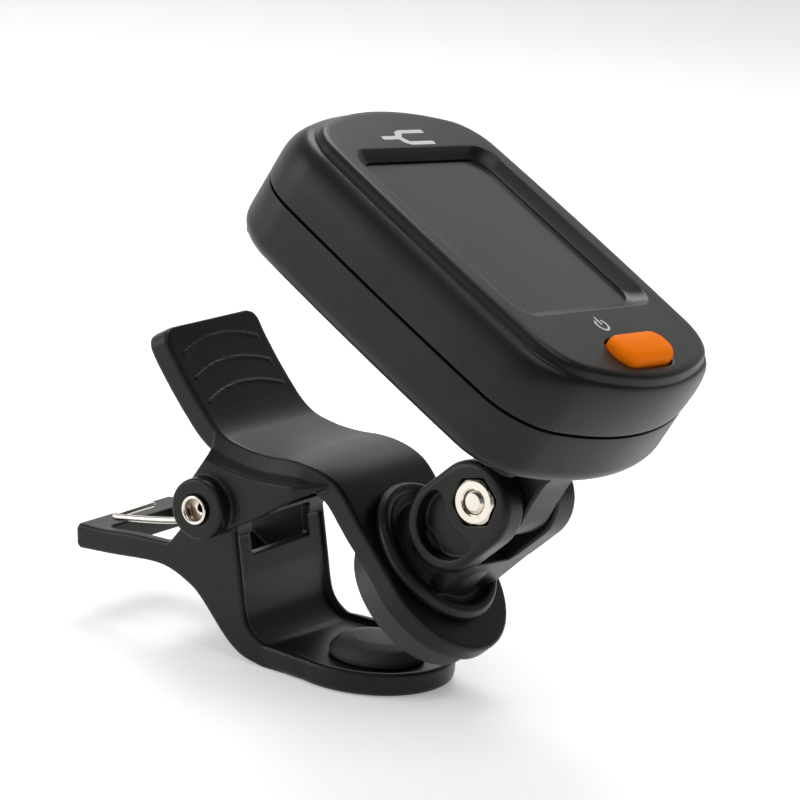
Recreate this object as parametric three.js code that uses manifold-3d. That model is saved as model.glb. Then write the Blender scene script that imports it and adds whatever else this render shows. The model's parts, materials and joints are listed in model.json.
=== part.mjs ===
// Clip-on instrument tuner: a spring clip, a swivelling fork and a tilting display head.
//
// Units are millimetres, +Z is up. The origin is on the flat underside of the lower jaw, at the
// centre of its round end. +X points from the thumb plates towards the jaw tips and Y is parallel
// to the clip's hinge rivet. Three nested frames carry the pieces that are turned at rest:
//   jaw frame   origin on the hinge rivet, turned about Y so that +Z leaves the upper jaw's disc
//   fork frame  origin on the disc's face, on the swivel axis, turned about that axis
//   head frame  origin on the tilt bolt, turned about the bolt, +Z leaves the display
import * as THREE from 'three';
import { mergeVertices } from 'three/addons/utils/BufferGeometryUtils.js';
import Module from 'manifold-3d';

const wasm = await Module();
wasm.setup();

// ---------- driving dimensions ----------
const GAP = 0.3; // clearance left between neighbouring pieces
const PIVOT_X = -18.7; // hinge rivet's axis, seen from the origin
const PIVOT_Z = 19.8;
const JAW_TILT = THREE.MathUtils.degToRad(45.5); // closed upper jaw's disc, from level
const FORK_TURN = THREE.MathUtils.degToRad(-5.2); // fork about the swivel axis, at rest
const HEAD_TILT = THREE.MathUtils.degToRad(-18.2); // head about the bolt, at rest

const JAW_HALF = 10.35; // half the width of both jaw strips
const CHEEK_IN = 10.6; // upper jaw's cheeks, inner and outer faces
const CHEEK_OUT = 12.4;
const BOSS_OUT = 14.4; // raised round boss on each cheek
const BOSS_R = 4.0;
const EAR_IN = 8.4; // lower jaw's side walls, inner face
const PLATE_T = 3.1; // lower jaw's bottom plate
const LOWER_DISC_R = 11.2;
const UPPER_DISC_R = 11.0;
const UPPER_DISC_U = 23.3; // disc centre along the jaw frame's X
const DISC_TOP = 17.3; // disc faces along the jaw frame's Z
const DISC_BOTTOM = 14.5;
const UPPER_PAD_R = 10.0;
const UPPER_PAD_T = 3.1;
const SCREW_HOLE_R = 4.2; // hole in the upper pad
const PLATE_SINK = 0.9; // the plate's upper side lies this deep inside its raised rim
const RIM_T = 0.9;
const LOWER_PAD_R = 6.2;
const LOWER_PAD_H = 2.2;
const LOWER_PAD_SHIFT = 1.2; // towards the tips, from the centre of the round plate

const RIVET_R = 1.35;
const RIVET_BORE_R = 0.85;
const RIVET_HEAD_R = 1.75;
const RIVET_HALF = 15.2;
const WIRE_R = 0.42;
const COIL_R = 2.0; // mean radius of the torsion spring
const COIL_TURNS = 5;
const COIL_PITCH = 1.15;
const COIL_Y = -3.6; // middle of the coil

const SWIVEL_U = 20.4; // swivel axis along the jaw frame's X
const FLANGE_R = 9.8;
const FLANGE_TOP_R = 8.9;
const FLANGE_T = 1.6;
const BOLT_H = 14.3; // bolt axis above the disc's face
const FORK_IN = 3.7; // fork ears, inner and outer faces
const FORK_OUT = 7.5;
const EAR_R = 5.75;
const BOLT_R = 1.45;
const NUT_FLATS = 5.5;
const NUT_T = 2.4;

const HEAD_LEN = 56.6;
const HEAD_WID = 40.6;
const HEAD_CORNER = 9.0;
const HEAD_END_R = 42;
const HEAD_SIDE_R = 420;
const HEAD_X = -18.9; // centre of the head along the head frame's X
const FACE_Z = 26.4; // raised face of the display side
const SHOULDER_Z = FACE_Z - 1.2;
const PARTING_Z = FACE_Z - 8.8; // mid-line between the two shells
const REAR_Z = 9.5;
const WALL = 1.5;
const SHOULDER_R = 2.6; // rounding of both shells' outer edges
const FACE_INSET = 1.6; // raised face's edge, in from the shell's side
const WINDOW_X = -20.4;
const RIM_L = 32.1; // window recess at the face
const RIM_W = 29.1;
const LENS_L = 29.2;
const LENS_W = 25.2;
const LENS_T = 1.0;
const LENS_DEPTH = 1.4; // lens surface below the raised face
const BUTTON_X = 4.0;
const BUTTON_L = 5.0;
const BUTTON_W = 11.0;
const BUTTON_R = 2.3;
const BUTTON_RISE = 1.7;
const BUTTON_TRAVEL = 0.5;
const STEM_Z = 22.6; // lower end of the button's stem
const BOARD_Z = 18.6;
const BOARD_T = 1.2;
const CELL_R = 10;
const CELL_T = 3.2;
const CELL_X = -28.5;
const CELL_Z = 12.2;
const DOOR_L = 24;
const DOOR_W = 21.6;
const DOOR_T = 1.3;
const SCREW_SPOTS = [[-41.1, -14.1], [-41.1, 14.1], [3.3, -14.1], [3.3, 14.1]];
const POST_R = 2.5;
const SCREW_R = 1.0;
const SCREW_HEAD_R = 1.8;
const OUTLINE_SEGMENTS = 3; // per arc of the head's outline

// ---------- materials ----------
const finish = (color, roughness, metalness = 0) =>
  new THREE.MeshStandardMaterial({ color, roughness, metalness });
const satinBlack = finish(0x17171a, 0.42);
const padGrey = finish(0x4a4a4c, 0.85);
const orange = finish(0xff8418, 0.45);
const smokedLens = finish(0x26282b, 0.12);
const lcdGlass = finish(0x5b6660, 0.2);
const diffuser = finish(0xdfe6e4, 0.5);
const boardGreen = finish(0x1d5a35, 0.55);
const switchBlack = finish(0x202020, 0.5);
const zebraGrey = finish(0x8d8d90, 0.8);
const nickel = finish(0xd2cfc8, 0.25, 1);
const steel = finish(0xb9b9b4, 0.35, 1);
const brass = finish(0xc8a24a, 0.35, 1);

// ---------- solid helpers ----------
function solid(geometry) {
  const bare = geometry.clone();
  bare.deleteAttribute('normal');
  bare.deleteAttribute('uv');
  const merged = mergeVertices(bare, 1e-4);
  return new wasm.Manifold(new wasm.Mesh({
    numProp: 3,
    vertProperties: new Float32Array(merged.attributes.position.array),
    triVerts: new Uint32Array(merged.index.array),
  }));
}

function piece(name, body, material, parent) {
  const { vertProperties, triVerts } = body.getMesh();
  const geometry = new THREE.BufferGeometry();
  geometry.setAttribute('position', new THREE.BufferAttribute(vertProperties, 3));
  geometry.setIndex(new THREE.BufferAttribute(triVerts, 1));
  const mesh = new THREE.Mesh(geometry, material);
  mesh.name = name;
  parent.add(mesh);
  return mesh;
}

const box = (x0, x1, y0, y1, z0, z1) => solid(
  new THREE.BoxGeometry(x1 - x0, y1 - y0, z1 - z0)
    .translate((x0 + x1) / 2, (y0 + y1) / 2, (z0 + z1) / 2));

// A shape drawn in X and Y, raised from z0 to z1.
const prism = (shape, z0, z1, curveSegments = 8) => solid(
  new THREE.ExtrudeGeometry(shape, { depth: z1 - z0, bevelEnabled: false, curveSegments })
    .translate(0, 0, z0));

// A shape drawn in X and Z, carried from y0 to y1.
const sidePrism = (shape, y0, y1, curveSegments = 8) => solid(
  new THREE.ExtrudeGeometry(shape, { depth: y1 - y0, bevelEnabled: false, curveSegments })
    .rotateX(Math.PI / 2).translate(0, y1, 0));

const post = (r, x, y, z0, z1, segments = 24) => solid(
  new THREE.CylinderGeometry(r, r, z1 - z0, segments)
    .rotateX(Math.PI / 2).translate(x, y, (z0 + z1) / 2));

const bar = (r, x, z, y0, y1, segments = 28) => solid(
  new THREE.CylinderGeometry(r, r, y1 - y0, segments).translate(x, (y0 + y1) / 2, z));

// A turned piece about Z: profile points are [radius, z].
const turned = (profile, segments = 40) => solid(
  new THREE.LatheGeometry(profile.map(([r, z]) => new THREE.Vector2(r, z)), segments)
    .rotateX(Math.PI / 2));

// The same, about Y: profile points are [radius, y].
const turnedAcross = (profile, segments = 28) => solid(
  new THREE.LatheGeometry(profile.map(([r, y]) => new THREE.Vector2(r, y)), segments));

const both = (make) => make(1).add(make(-1));

function roundedRect(length, width, radius, cx = 0, cy = 0) {
  const [x0, x1] = [cx - length / 2, cx + length / 2];
  const [y0, y1] = [cy - width / 2, cy + width / 2];
  const shape = new THREE.Shape();
  shape.absarc(x1 - radius, y1 - radius, radius, 0, Math.PI / 2);
  shape.absarc(x0 + radius, y1 - radius, radius, Math.PI / 2, Math.PI);
  shape.absarc(x0 + radius, y0 + radius, radius, Math.PI, Math.PI * 1.5);
  shape.absarc(x1 - radius, y0 + radius, radius, Math.PI * 1.5, Math.PI * 2);
  return shape;
}

// The head's plan outline: a rectangle whose four sides bow outwards as large arcs, tangent to
// its corner arcs. An inset shrinks every arc by the same amount.
function headOutline(inset) {
  const r = HEAD_CORNER - inset;
  const [endR, sideR] = [HEAD_END_R - inset, HEAD_SIDE_R - inset];
  const [halfL, halfW] = [HEAD_LEN / 2 - inset, HEAD_WID / 2 - inset];
  let [cx, cy] = [halfL - r, halfW - r];
  for (let i = 0; i < 12; i += 1) {
    cx = halfL - endR + Math.sqrt((endR - r) ** 2 - cy ** 2);
    cy = halfW - sideR + Math.sqrt((sideR - r) ** 2 - cx ** 2);
  }
  const endTurn = Math.asin(cy / (endR - r));
  const sideTurn = Math.asin(cx / (sideR - r));
  const shape = new THREE.Shape();
  const quarter = Math.PI / 2;
  const end = (side) => shape.absarc(
    HEAD_X + side * (halfL - endR), 0, endR,
    (side > 0 ? 0 : Math.PI) - endTurn, (side > 0 ? 0 : Math.PI) + endTurn);
  const flank = (side) => shape.absarc(
    HEAD_X, side * (halfW - sideR), sideR, side * quarter - sideTurn, side * quarter + sideTurn);
  const corner = (sx, sy, from, to) =>
    shape.absarc(HEAD_X + sx * cx, sy * cy, r, from, to);
  end(1);
  corner(1, 1, endTurn, quarter - sideTurn);
  flank(1);
  corner(-1, 1, quarter + sideTurn, Math.PI - endTurn);
  end(-1);
  corner(-1, -1, Math.PI + endTurn, 3 * quarter - sideTurn);
  flank(-1);
  corner(1, -1, 3 * quarter + sideTurn, 4 * quarter - endTurn);
  return shape;
}

// The head's outline raised from z0 to z1, with its upper and lower edges rounded by `edge`.
function roundedSlab(inset, z0, z1, edge, bevelSegments = 1) {
  return solid(new THREE.ExtrudeGeometry(headOutline(inset + edge), {
    depth: z1 - z0 - 2 * edge,
    bevelThickness: edge,
    bevelSize: edge,
    bevelSegments,
    curveSegments: OUTLINE_SEGMENTS,
  }).translate(0, 0, z0 + edge));
}

function polygon(points) {
  return new THREE.Shape(points.map(([x, y]) => new THREE.Vector2(x, y)));
}

// ---------- clip: lower jaw ----------
function lowerJaw() {
  const plateTop = PLATE_T - PIVOT_Z;
  const profile = new THREE.Shape();
  profile.moveTo(-21.6, -7.8);
  profile.lineTo(-21.0, -11.1);
  profile.lineTo(-8.5, -10.1);
  profile.quadraticCurveTo(-4.2, -10.3, -0.6, -13.8);
  profile.quadraticCurveTo(5.0, -PIVOT_Z, 9.5, -PIVOT_Z);
  profile.lineTo(-PIVOT_X, -PIVOT_Z);
  profile.lineTo(-PIVOT_X, plateTop);
  profile.lineTo(9.0, plateTop);
  profile.quadraticCurveTo(6.0, plateTop, 5.4, -12.6);
  profile.lineTo(3.1, -1.6);
  profile.absarc(0, 0, 3.7, -0.1, Math.PI - 0.3);
  profile.lineTo(-6.4, -6.8);
  const strip = sidePrism(profile, -JAW_HALF + GAP / 2, JAW_HALF - GAP / 2);
  const disc = post(LOWER_DISC_R, -PIVOT_X, 0, -PIVOT_Z, plateTop, 48);
  const sunk = post(LOWER_DISC_R - RIM_T, -PIVOT_X, 0, plateTop - PLATE_SINK, plateTop + 1, 48)
    .add(box(9.5, -PIVOT_X, RIM_T - JAW_HALF, JAW_HALF - RIM_T, plateTop - PLATE_SINK, plateTop + 1));
  const hollow = polygon([[-7.4, 6], [-7.4, -8.6], [-1.6, -11.8], [3.4, -11.8], [1.5, -1.4], [1.5, 6]]);
  const window = box(0, 6, -6.4, 6.4, -6.6, -2.7);
  const wallTop = box(1, 6, -EAR_IN, EAR_IN, -1.4, 6);
  const thumbOpening = box(-18, -7, -EAR_IN, EAR_IN, -14, -4);
  return strip.add(disc)
    .subtract(sunk)
    .subtract(sidePrism(hollow, -EAR_IN, EAR_IN))
    .subtract(window)
    .subtract(wallTop)
    .subtract(thumbOpening)
    .subtract(bar(COIL_R + WIRE_R + GAP, 0, 0, -EAR_IN, EAR_IN))
    .subtract(bar(RIVET_R + GAP, 0, 0, -JAW_HALF, JAW_HALF));
}

function lowerPad() {
  const base = PLATE_T - PLATE_SINK - PIVOT_Z + GAP;
  const top = base + LOWER_PAD_H;
  return turned([
    [0, base], [LOWER_PAD_R, base], [LOWER_PAD_R, base + 0.7], [LOWER_PAD_R - 0.5, top - 0.9],
    [LOWER_PAD_R - 1.5, top - 0.3], [LOWER_PAD_R - 2.8, top], [0, top],
  ]);
}

// A hollow rivet with one formed collar at each end.
function hingeRivet() {
  const collar = RIVET_HALF - 0.5;
  return turnedAcross([
    [RIVET_BORE_R, -RIVET_HALF], [RIVET_HEAD_R, -RIVET_HALF], [RIVET_HEAD_R, -collar],
    [RIVET_R, -collar], [RIVET_R, collar], [RIVET_HEAD_R, collar], [RIVET_HEAD_R, RIVET_HALF],
    [RIVET_BORE_R, RIVET_HALF], [RIVET_BORE_R, -RIVET_HALF],
  ]);
}

// Torsion spring round the rivet. One leg lies along the lower thumb plate and turns inwards,
// the other stands against the underside of the upper thumb plate.
function torsionSpring() {
  const coilLength = COIL_TURNS * COIL_PITCH;
  const near = COIL_Y - coilLength / 2;
  const far = COIL_Y + coilLength / 2;
  const start = THREE.MathUtils.degToRad(262);
  const sweep = 2 * Math.PI * COIL_TURNS + THREE.MathUtils.degToRad(-55);
  const path = new THREE.CurvePath();
  const at = (t) => new THREE.Vector3(
    COIL_R * Math.cos(start + sweep * t), near + coilLength * t, COIL_R * Math.sin(start + sweep * t));
  const points = [
    new THREE.Vector3(-18.2, near + 7.3, -6.6), new THREE.Vector3(-18.5, near + 1.2, -6.85),
    new THREE.Vector3(-17.6, near, -6.75), new THREE.Vector3(-9.2, near, -5.1),
    new THREE.Vector3(-4.0, near, -3.2),
  ];
  const steps = COIL_TURNS * 18;
  for (let i = 1; i < steps; i += 1) points.push(at(i / steps));
  points.push(new THREE.Vector3(-3.4, far, 4.4), new THREE.Vector3(-5.6, far, 7.9));
  path.add(new THREE.CatmullRomCurve3(points, false, 'centripetal'));
  const section = new THREE.Shape();
  section.absarc(0, 0, WIRE_R, 0, 2 * Math.PI);
  return solid(new THREE.ExtrudeGeometry(section, {
    steps: points.length,
    extrudePath: path.curves[0],
    curveSegments: 4,
    bevelEnabled: false,
  }));
}

// ---------- clip: upper jaw ----------
// Points of the jaw frame's X and Z, seen in the clip's own X and Z.
const fromJaw = (u, n) => [
  u * Math.cos(JAW_TILT) + n * Math.sin(JAW_TILT),
  -u * Math.sin(JAW_TILT) + n * Math.cos(JAW_TILT),
];

function upperStrip() {
  const profile = new THREE.Shape();
  const [topX, topZ] = fromJaw(12.4, DISC_TOP);
  const [endX, endZ] = fromJaw(UPPER_DISC_U, DISC_TOP);
  const [underX, underZ] = fromJaw(UPPER_DISC_U, DISC_BOTTOM);
  const [rootX, rootZ] = fromJaw(11.2, DISC_BOTTOM);
  profile.moveTo(-12.0, 18.2);
  profile.lineTo(-10.2, 20.8);
  profile.lineTo(-3.4, 12.1);
  profile.quadraticCurveTo(-0.4, 8.5, 3.4, 8.2);
  profile.lineTo(13.0, 8.2);
  profile.quadraticCurveTo(16.8, 8.1, topX, topZ);
  profile.lineTo(endX, endZ);
  profile.lineTo(underX, underZ);
  profile.lineTo(rootX, rootZ);
  profile.quadraticCurveTo(15.2, 5.7, 12.0, 5.6);
  profile.lineTo(3.0, 5.6);
  profile.quadraticCurveTo(-1.6, 6.0, -4.7, 9.4);
  return sidePrism(profile, -JAW_HALF, JAW_HALF);
}

function cheekOutline() {
  const outline = new THREE.Shape();
  outline.moveTo(-2.0, 7.6);
  outline.lineTo(-3.95, 0.6);
  outline.absarc(0, 0, BOSS_R, Math.PI * 0.95, Math.PI * 1.72);
  outline.lineTo(16.6, 5.4);
  outline.lineTo(14.6, 7.6);
  return outline;
}

function upperJaw() {
  const jawToClip = (geometry) => geometry.rotateY(JAW_TILT);
  const disc = solid(jawToClip(
    new THREE.CylinderGeometry(UPPER_DISC_R, UPPER_DISC_R, DISC_TOP - DISC_BOTTOM, 48)
      .rotateX(Math.PI / 2).translate(UPPER_DISC_U, 0, (DISC_TOP + DISC_BOTTOM) / 2)));
  const screwWay = solid(jawToClip(
    new THREE.CylinderGeometry(1.9, 1.9, 6, 24)
      .rotateX(Math.PI / 2).translate(SWIVEL_U, 0, (DISC_TOP + DISC_BOTTOM) / 2)));
  const cheek = (side) => {
    const [y0, y1] = side > 0 ? [CHEEK_IN, CHEEK_OUT] : [-CHEEK_OUT, -CHEEK_IN];
    const [w0, w1] = side > 0 ? [EAR_IN, CHEEK_OUT] : [-CHEEK_OUT, -EAR_IN];
    const web = polygon([[-2.6, 5.4], [-1.2, 7.9], [14.9, 7.9], [16.4, 6.3], [16.1, 5.4]]);
    const [b0, b1] = side > 0 ? [CHEEK_OUT - 0.2, BOSS_OUT] : [-BOSS_OUT, 0.2 - CHEEK_OUT];
    return sidePrism(cheekOutline(), y0, y1)
      .add(sidePrism(web, w0, w1))
      .add(bar(BOSS_R, 0, 0, b0, b1));
  };
  // The cheeks lean out from the strip's edge: a sloping cut takes the corner off their tops.
  const slope = (side) => solid(new THREE.BoxGeometry(24, 6, 4)
    .rotateX(side * -0.95).translate(7, side * 13.55, 8.55));
  const body = upperStrip().add(disc).add(both(cheek));
  const ridges = [0, 1, 2].map((i) => solid(new THREE.BoxGeometry(0.7, 13, 0.7)
    .rotateY(0.87).translate(-8.6 + 1.7 * i, 0, 18.55 - 2.12 * i)));
  return ridges.reduce((sum, ridge) => sum.add(ridge), body)
    .subtract(both(slope))
    .subtract(bar(RIVET_R + GAP, 0, 0, -BOSS_OUT - 1, BOSS_OUT + 1))
    .subtract(screwWay);
}

// Rubber pad under the upper disc, with a hole that leaves the swivel screw's head free.
function upperPad() {
  const top = DISC_BOTTOM - GAP;
  const bottom = top - UPPER_PAD_T;
  return turned([
    [0, bottom], [UPPER_PAD_R - 0.5, bottom], [UPPER_PAD_R, bottom + 0.5],
    [UPPER_PAD_R, top], [0, top],
  ], 48).subtract(post(SCREW_HOLE_R, SWIVEL_U - UPPER_DISC_U, 0, bottom - 1, top + 1));
}

// ---------- fork ----------
function earOutline(inset) {
  const r = EAR_R - inset;
  const shape = new THREE.Shape();
  shape.absarc(0, BOLT_H - 1.1, r, 0, Math.PI);
  shape.absarc(0, BOLT_H - 5.6, r, Math.PI, 2 * Math.PI);
  return shape;
}

function fork() {
  const flange = turned([
    [0, GAP], [FLANGE_R, GAP], [FLANGE_R, GAP + 0.7], [FLANGE_TOP_R, FLANGE_T],
    [FLANGE_TOP_R - 0.6, FLANGE_T], [FLANGE_TOP_R - 1.4, FLANGE_T - 0.7], [0, FLANGE_T - 0.7],
  ], 48);
  const foot = prism(roundedRect(2 * EAR_R + 0.6, 2 * FORK_OUT, 3), FLANGE_T - 1.0, 5.2);
  const ear = (side) => sidePrism(earOutline(0),
    side > 0 ? FORK_IN : -FORK_OUT, side > 0 ? FORK_OUT : -FORK_IN);
  const saddle = bar(5.6, 0, BOLT_H, -FORK_IN, FORK_IN, 32);
  const slot = box(-9, 9, -FORK_IN, FORK_IN, 7.4, 22);
  const keep = bar(4.4, 0, BOLT_H, -FORK_OUT, -FORK_OUT + 2);
  const pocket = (side) => {
    const [y0, y1] = side > 0 ? [FORK_OUT - 1.6, FORK_OUT + 1] : [-FORK_OUT - 1, 1.6 - FORK_OUT];
    return sidePrism(earOutline(1.15), y0, y1)
      .subtract(box(-8, 8, y0 - 1, y1 + 1, BOLT_H - 3.6, 30))
      .subtract(bar(4.5, 0, BOLT_H, y0 - 1, y1 + 1));
  };
  const nutPocket = solid(new THREE.CylinderGeometry(
    NUT_FLATS / Math.sqrt(3) + GAP * 1.2, NUT_FLATS / Math.sqrt(3) + GAP * 1.2, 2.1, 6)
    .rotateY(Math.PI / 2).translate(0, -FORK_OUT + 1.05, BOLT_H));
  const headPocket = bar(3.1, 0, BOLT_H, FORK_OUT - 1.9, FORK_OUT + 1);
  return flange.add(foot).add(both(ear)).add(box(-5, 5, -FORK_IN - 1, FORK_IN + 1, 4, 8.4))
    .add(keep)
    .subtract(slot)
    .subtract(saddle)
    .subtract(both(pocket))
    .subtract(nutPocket)
    .subtract(headPocket)
    .subtract(bar(BOLT_R + GAP, 0, BOLT_H, -FORK_OUT - 1, FORK_OUT + 1))
    .subtract(post(1.55, 0, 0, -1, 6.2));
}

function hexNut() {
  const y0 = -FORK_OUT - 0.6;
  const body = solid(new THREE.CylinderGeometry(
    NUT_FLATS / Math.sqrt(3), NUT_FLATS / Math.sqrt(3), NUT_T, 6)
    .rotateY(Math.PI / 2).translate(0, y0 + NUT_T / 2, BOLT_H));
  const bore = solid(new THREE.CylinderGeometry(BOLT_R + 0.12, BOLT_R + 0.12, NUT_T + 1, 28)
    .translate(0, y0 + NUT_T / 2, BOLT_H));
  const chamfered = solid(new THREE.LatheGeometry([
    new THREE.Vector2(0, y0), new THREE.Vector2(NUT_FLATS / 2 + 0.05, y0),
    new THREE.Vector2(NUT_FLATS / 2 + 0.6, y0 + 0.5),
    new THREE.Vector2(NUT_FLATS / 2 + 0.6, y0 + NUT_T), new THREE.Vector2(0, y0 + NUT_T),
  ], 36).translate(0, 0, BOLT_H));
  return body.intersect(chamfered).subtract(bore);
}

function tiltBolt() {
  const tip = -FORK_OUT - 0.5;
  const seat = FORK_OUT - 1.6;
  const geometry = new THREE.LatheGeometry([
    [0, tip], [BOLT_R - 0.35, tip], [BOLT_R, tip + 0.35], [BOLT_R, seat],
    [2.75, seat], [2.75, seat + 1.4], [2.3, seat + 1.9], [0, seat + 1.9],
  ].map(([r, y]) => new THREE.Vector2(r, y)), 28).translate(0, 0, BOLT_H);
  const cross = box(-1.6, 1.6, seat + 0.9, seat + 3, BOLT_H - 0.3, BOLT_H + 0.3)
    .add(box(-0.3, 0.3, seat + 0.9, seat + 3, BOLT_H - 1.6, BOLT_H + 1.6));
  return solid(geometry).subtract(cross);
}

// Screw and washer that hold the fork's flange on the upper disc, from the pad's side. Their
// heights are seen from the disc's face, like the fork's.
function swivelScrew() {
  const under = DISC_BOTTOM - DISC_TOP;
  const headTop = under - 1.0;
  const body = turned([
    [0, headTop - 1.5], [2.3, headTop - 1.5], [2.7, headTop - 1.1], [2.7, headTop],
    [1.25, headTop], [1.25, 5.2], [0, 5.8],
  ], 28);
  const slot = headTop - 1.6;
  return body.subtract(box(-1.8, 1.8, -0.3, 0.3, slot, slot + 1))
    .subtract(box(-0.3, 0.3, -1.8, 1.8, slot, slot + 1));
}

function swivelWasher() {
  const top = DISC_BOTTOM - DISC_TOP - 0.15;
  return turned([
    [1.5, top - 0.6], [3.6, top - 0.6], [3.6, top], [1.5, top], [1.5, top - 0.6],
  ], 32);
}

// ---------- display head ----------
const lensTop = FACE_Z - LENS_DEPTH;

// Sloping recess round the lens: a four-sided funnel with rounded corners.
function windowRecess() {
  const slopeX = (RIM_L - LENS_L) / 2;
  const slopeY = (RIM_W - LENS_W) / 2;
  const geometry = new THREE.ExtrudeGeometry(roundedRect(RIM_L, RIM_W, 3.4), {
    depth: LENS_DEPTH + 0.6, bevelEnabled: false, curveSegments: 5,
  });
  const position = geometry.attributes.position;
  for (let i = 0; i < position.count; i += 1) {
    const low = position.getZ(i) < 0.01;
    const squeeze = low ? 1 : -0.4;
    position.setX(i, position.getX(i) * (1 - (squeeze * 2 * slopeX) / RIM_L));
    position.setY(i, position.getY(i) * (1 - (squeeze * 2 * slopeY) / RIM_W));
  }
  return solid(geometry.translate(WINDOW_X, 0, lensTop));
}

function frontShell() {
  const outer = roundedSlab(0, PARTING_Z - 6, SHOULDER_Z, SHOULDER_R, 4)
    .add(roundedSlab(FACE_INSET, PARTING_Z + 1, FACE_Z, 0.4))
    .subtract(box(-60, 20, -30, 30, 0, PARTING_Z + GAP / 2));
  const cavity = roundedSlab(WALL, PARTING_Z - 8, FACE_Z - 2.6, 1.2);
  const lensSeat = prism(roundedRect(LENS_L, LENS_W, 2.0, WINDOW_X), FACE_Z - 4, lensTop, 4);
  const buttonWay = prism(
    roundedRect(BUTTON_L + 2 * GAP, BUTTON_W + 2 * GAP, BUTTON_R + GAP, BUTTON_X), FACE_Z - 4, FACE_Z + 2, 6);
  const inside = roundedSlab(0.8, PARTING_Z - 6, SHOULDER_Z - 0.8, SHOULDER_R - 0.8, 2);
  const posts = SCREW_SPOTS.map(([x, y]) =>
    post(POST_R, x, y, PARTING_Z + 1.4, FACE_Z - 2).intersect(inside));
  const pilots = SCREW_SPOTS.map(([x, y]) => post(SCREW_R + GAP, x, y, PARTING_Z, FACE_Z - 3.2, 16));
  const shell = outer.subtract(cavity)
    .subtract(windowRecess()).subtract(lensSeat).subtract(buttonWay);
  const withPosts = posts.reduce((sum, item) => sum.add(item), shell);
  return pilots.reduce((sum, item) => sum.subtract(item), withPosts);
}

function knuckle() {
  const hub = bar(4.9, 0, 0, -FORK_IN + 0.35, FORK_IN - 0.35, 36);
  const neck = box(-4.7, 4.7, -FORK_IN + 0.35, FORK_IN - 0.35, 0, REAR_Z + 1);
  const root = prism(roundedRect(12.6, 11.4, 3), REAR_Z - 1.3, REAR_Z + 1);
  return hub.add(neck).add(root);
}

function rearShell() {
  const outer = roundedSlab(0, REAR_Z, PARTING_Z + 6, SHOULDER_R, 4)
    .subtract(box(-60, 20, -30, 30, PARTING_Z - GAP / 2, 40));
  const tongueTop = PARTING_Z + 1.0;
  const tongue = prism(headOutline(WALL + GAP), PARTING_Z - 1.5, tongueTop, OUTLINE_SEGMENTS);
  const inside = roundedSlab(0.8, REAR_Z + 0.8, tongueTop + 8, SHOULDER_R - 0.8, 2)
    .intersect(prism(headOutline(WALL + GAP), REAR_Z - 1, tongueTop, OUTLINE_SEGMENTS)
      .add(roundedSlab(0, REAR_Z - 4, PARTING_Z - GAP / 2, 1)));
  const cavity = roundedSlab(WALL + GAP + 0.9, REAR_Z + WALL, PARTING_Z + 8, 1.6);
  const posts = SCREW_SPOTS.map(([x, y]) =>
    post(POST_R + 0.4, x, y, REAR_Z + 0.8, tongueTop).intersect(inside));
  const holes = SCREW_SPOTS.flatMap(([x, y]) => [
    post(SCREW_R + GAP, x, y, REAR_Z - 1, tongueTop + 1, 16),
    post(SCREW_HEAD_R + GAP, x, y, REAR_Z - 1, REAR_Z + 1.9),
  ]);
  const doorWay = box(CELL_X - DOOR_L / 2 - GAP, CELL_X + DOOR_L / 2 + GAP,
    -DOOR_W / 2 - GAP, DOOR_W / 2 + GAP, REAR_Z - 1, REAR_Z + DOOR_T + GAP);
  const cellWay = post(CELL_R + 0.6, CELL_X, 0, REAR_Z, REAR_Z + 3, 40);
  const shell = outer.add(tongue).subtract(cavity);
  const withPosts = posts.reduce((sum, item) => sum.add(item), shell);
  return holes.reduce((sum, item) => sum.subtract(item), withPosts)
    .subtract(doorWay)
    .subtract(cellWay)
    .add(knuckle())
    .subtract(bar(BOLT_R + GAP, 0, 0, -FORK_IN, FORK_IN));
}

function displayLens() {
  return prism(roundedRect(LENS_L - 2 * GAP, LENS_W - 2 * GAP, 1.8, WINDOW_X),
    lensTop - LENS_T - 0.2, lensTop - 0.2, 5);
}

const stack = (length, width, z0, z1, x = WINDOW_X) =>
  box(x - length / 2, x + length / 2, -width / 2, width / 2, z0, z1);

// Soft cap on a stem: the cap stands in the face, the stem reaches the tactile switch.
function powerButton() {
  const cap = solid(new THREE.ExtrudeGeometry(
    roundedRect(BUTTON_L - 1.6, BUTTON_W - 1.6, BUTTON_R - 0.8, BUTTON_X), {
      depth: BUTTON_RISE + 0.4, bevelThickness: 0.8, bevelSize: 0.8, bevelSegments: 3, curveSegments: 6,
    }).translate(0, 0, FACE_Z - 1.2));
  const skirt = prism(roundedRect(BUTTON_L + 1.0, BUTTON_W + 1.2, BUTTON_R + 0.3, BUTTON_X - 0.5),
    FACE_Z - 3.6, FACE_Z - 2.9, 6);
  const stem = post(1.6, BUTTON_X, 0, STEM_Z, FACE_Z - 1);
  return cap.add(prism(roundedRect(BUTTON_L, BUTTON_W, BUTTON_R, BUTTON_X), FACE_Z - 3.2, FACE_Z - 1, 6))
    .add(skirt).add(stem);
}

function tactSwitch() {
  return stack(6, 6, BOARD_Z + BOARD_T + 0.1, BOARD_Z + BOARD_T + 1.6, BUTTON_X)
    .add(post(1.2, BUTTON_X, 0, BOARD_Z + BOARD_T + 1.4, STEM_Z - BUTTON_TRAVEL - 0.1));
}

function circuitBoard() {
  return box(-38.6, -1.4, -17.0, 17.0, BOARD_Z, BOARD_Z + BOARD_T)
    .add(box(-2, 6.4, -9.6, 9.6, BOARD_Z, BOARD_Z + BOARD_T));
}

function coinCell() {
  return turned([
    [0, CELL_Z], [CELL_R - 1.2, CELL_Z], [CELL_R - 1.0, CELL_Z + 0.3], [CELL_R - 0.3, CELL_Z + 0.3],
    [CELL_R, CELL_Z + 0.6], [CELL_R, CELL_Z + CELL_T - 0.2],
    [CELL_R - 0.2, CELL_Z + CELL_T], [0, CELL_Z + CELL_T],
  ], 40);
}

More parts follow.
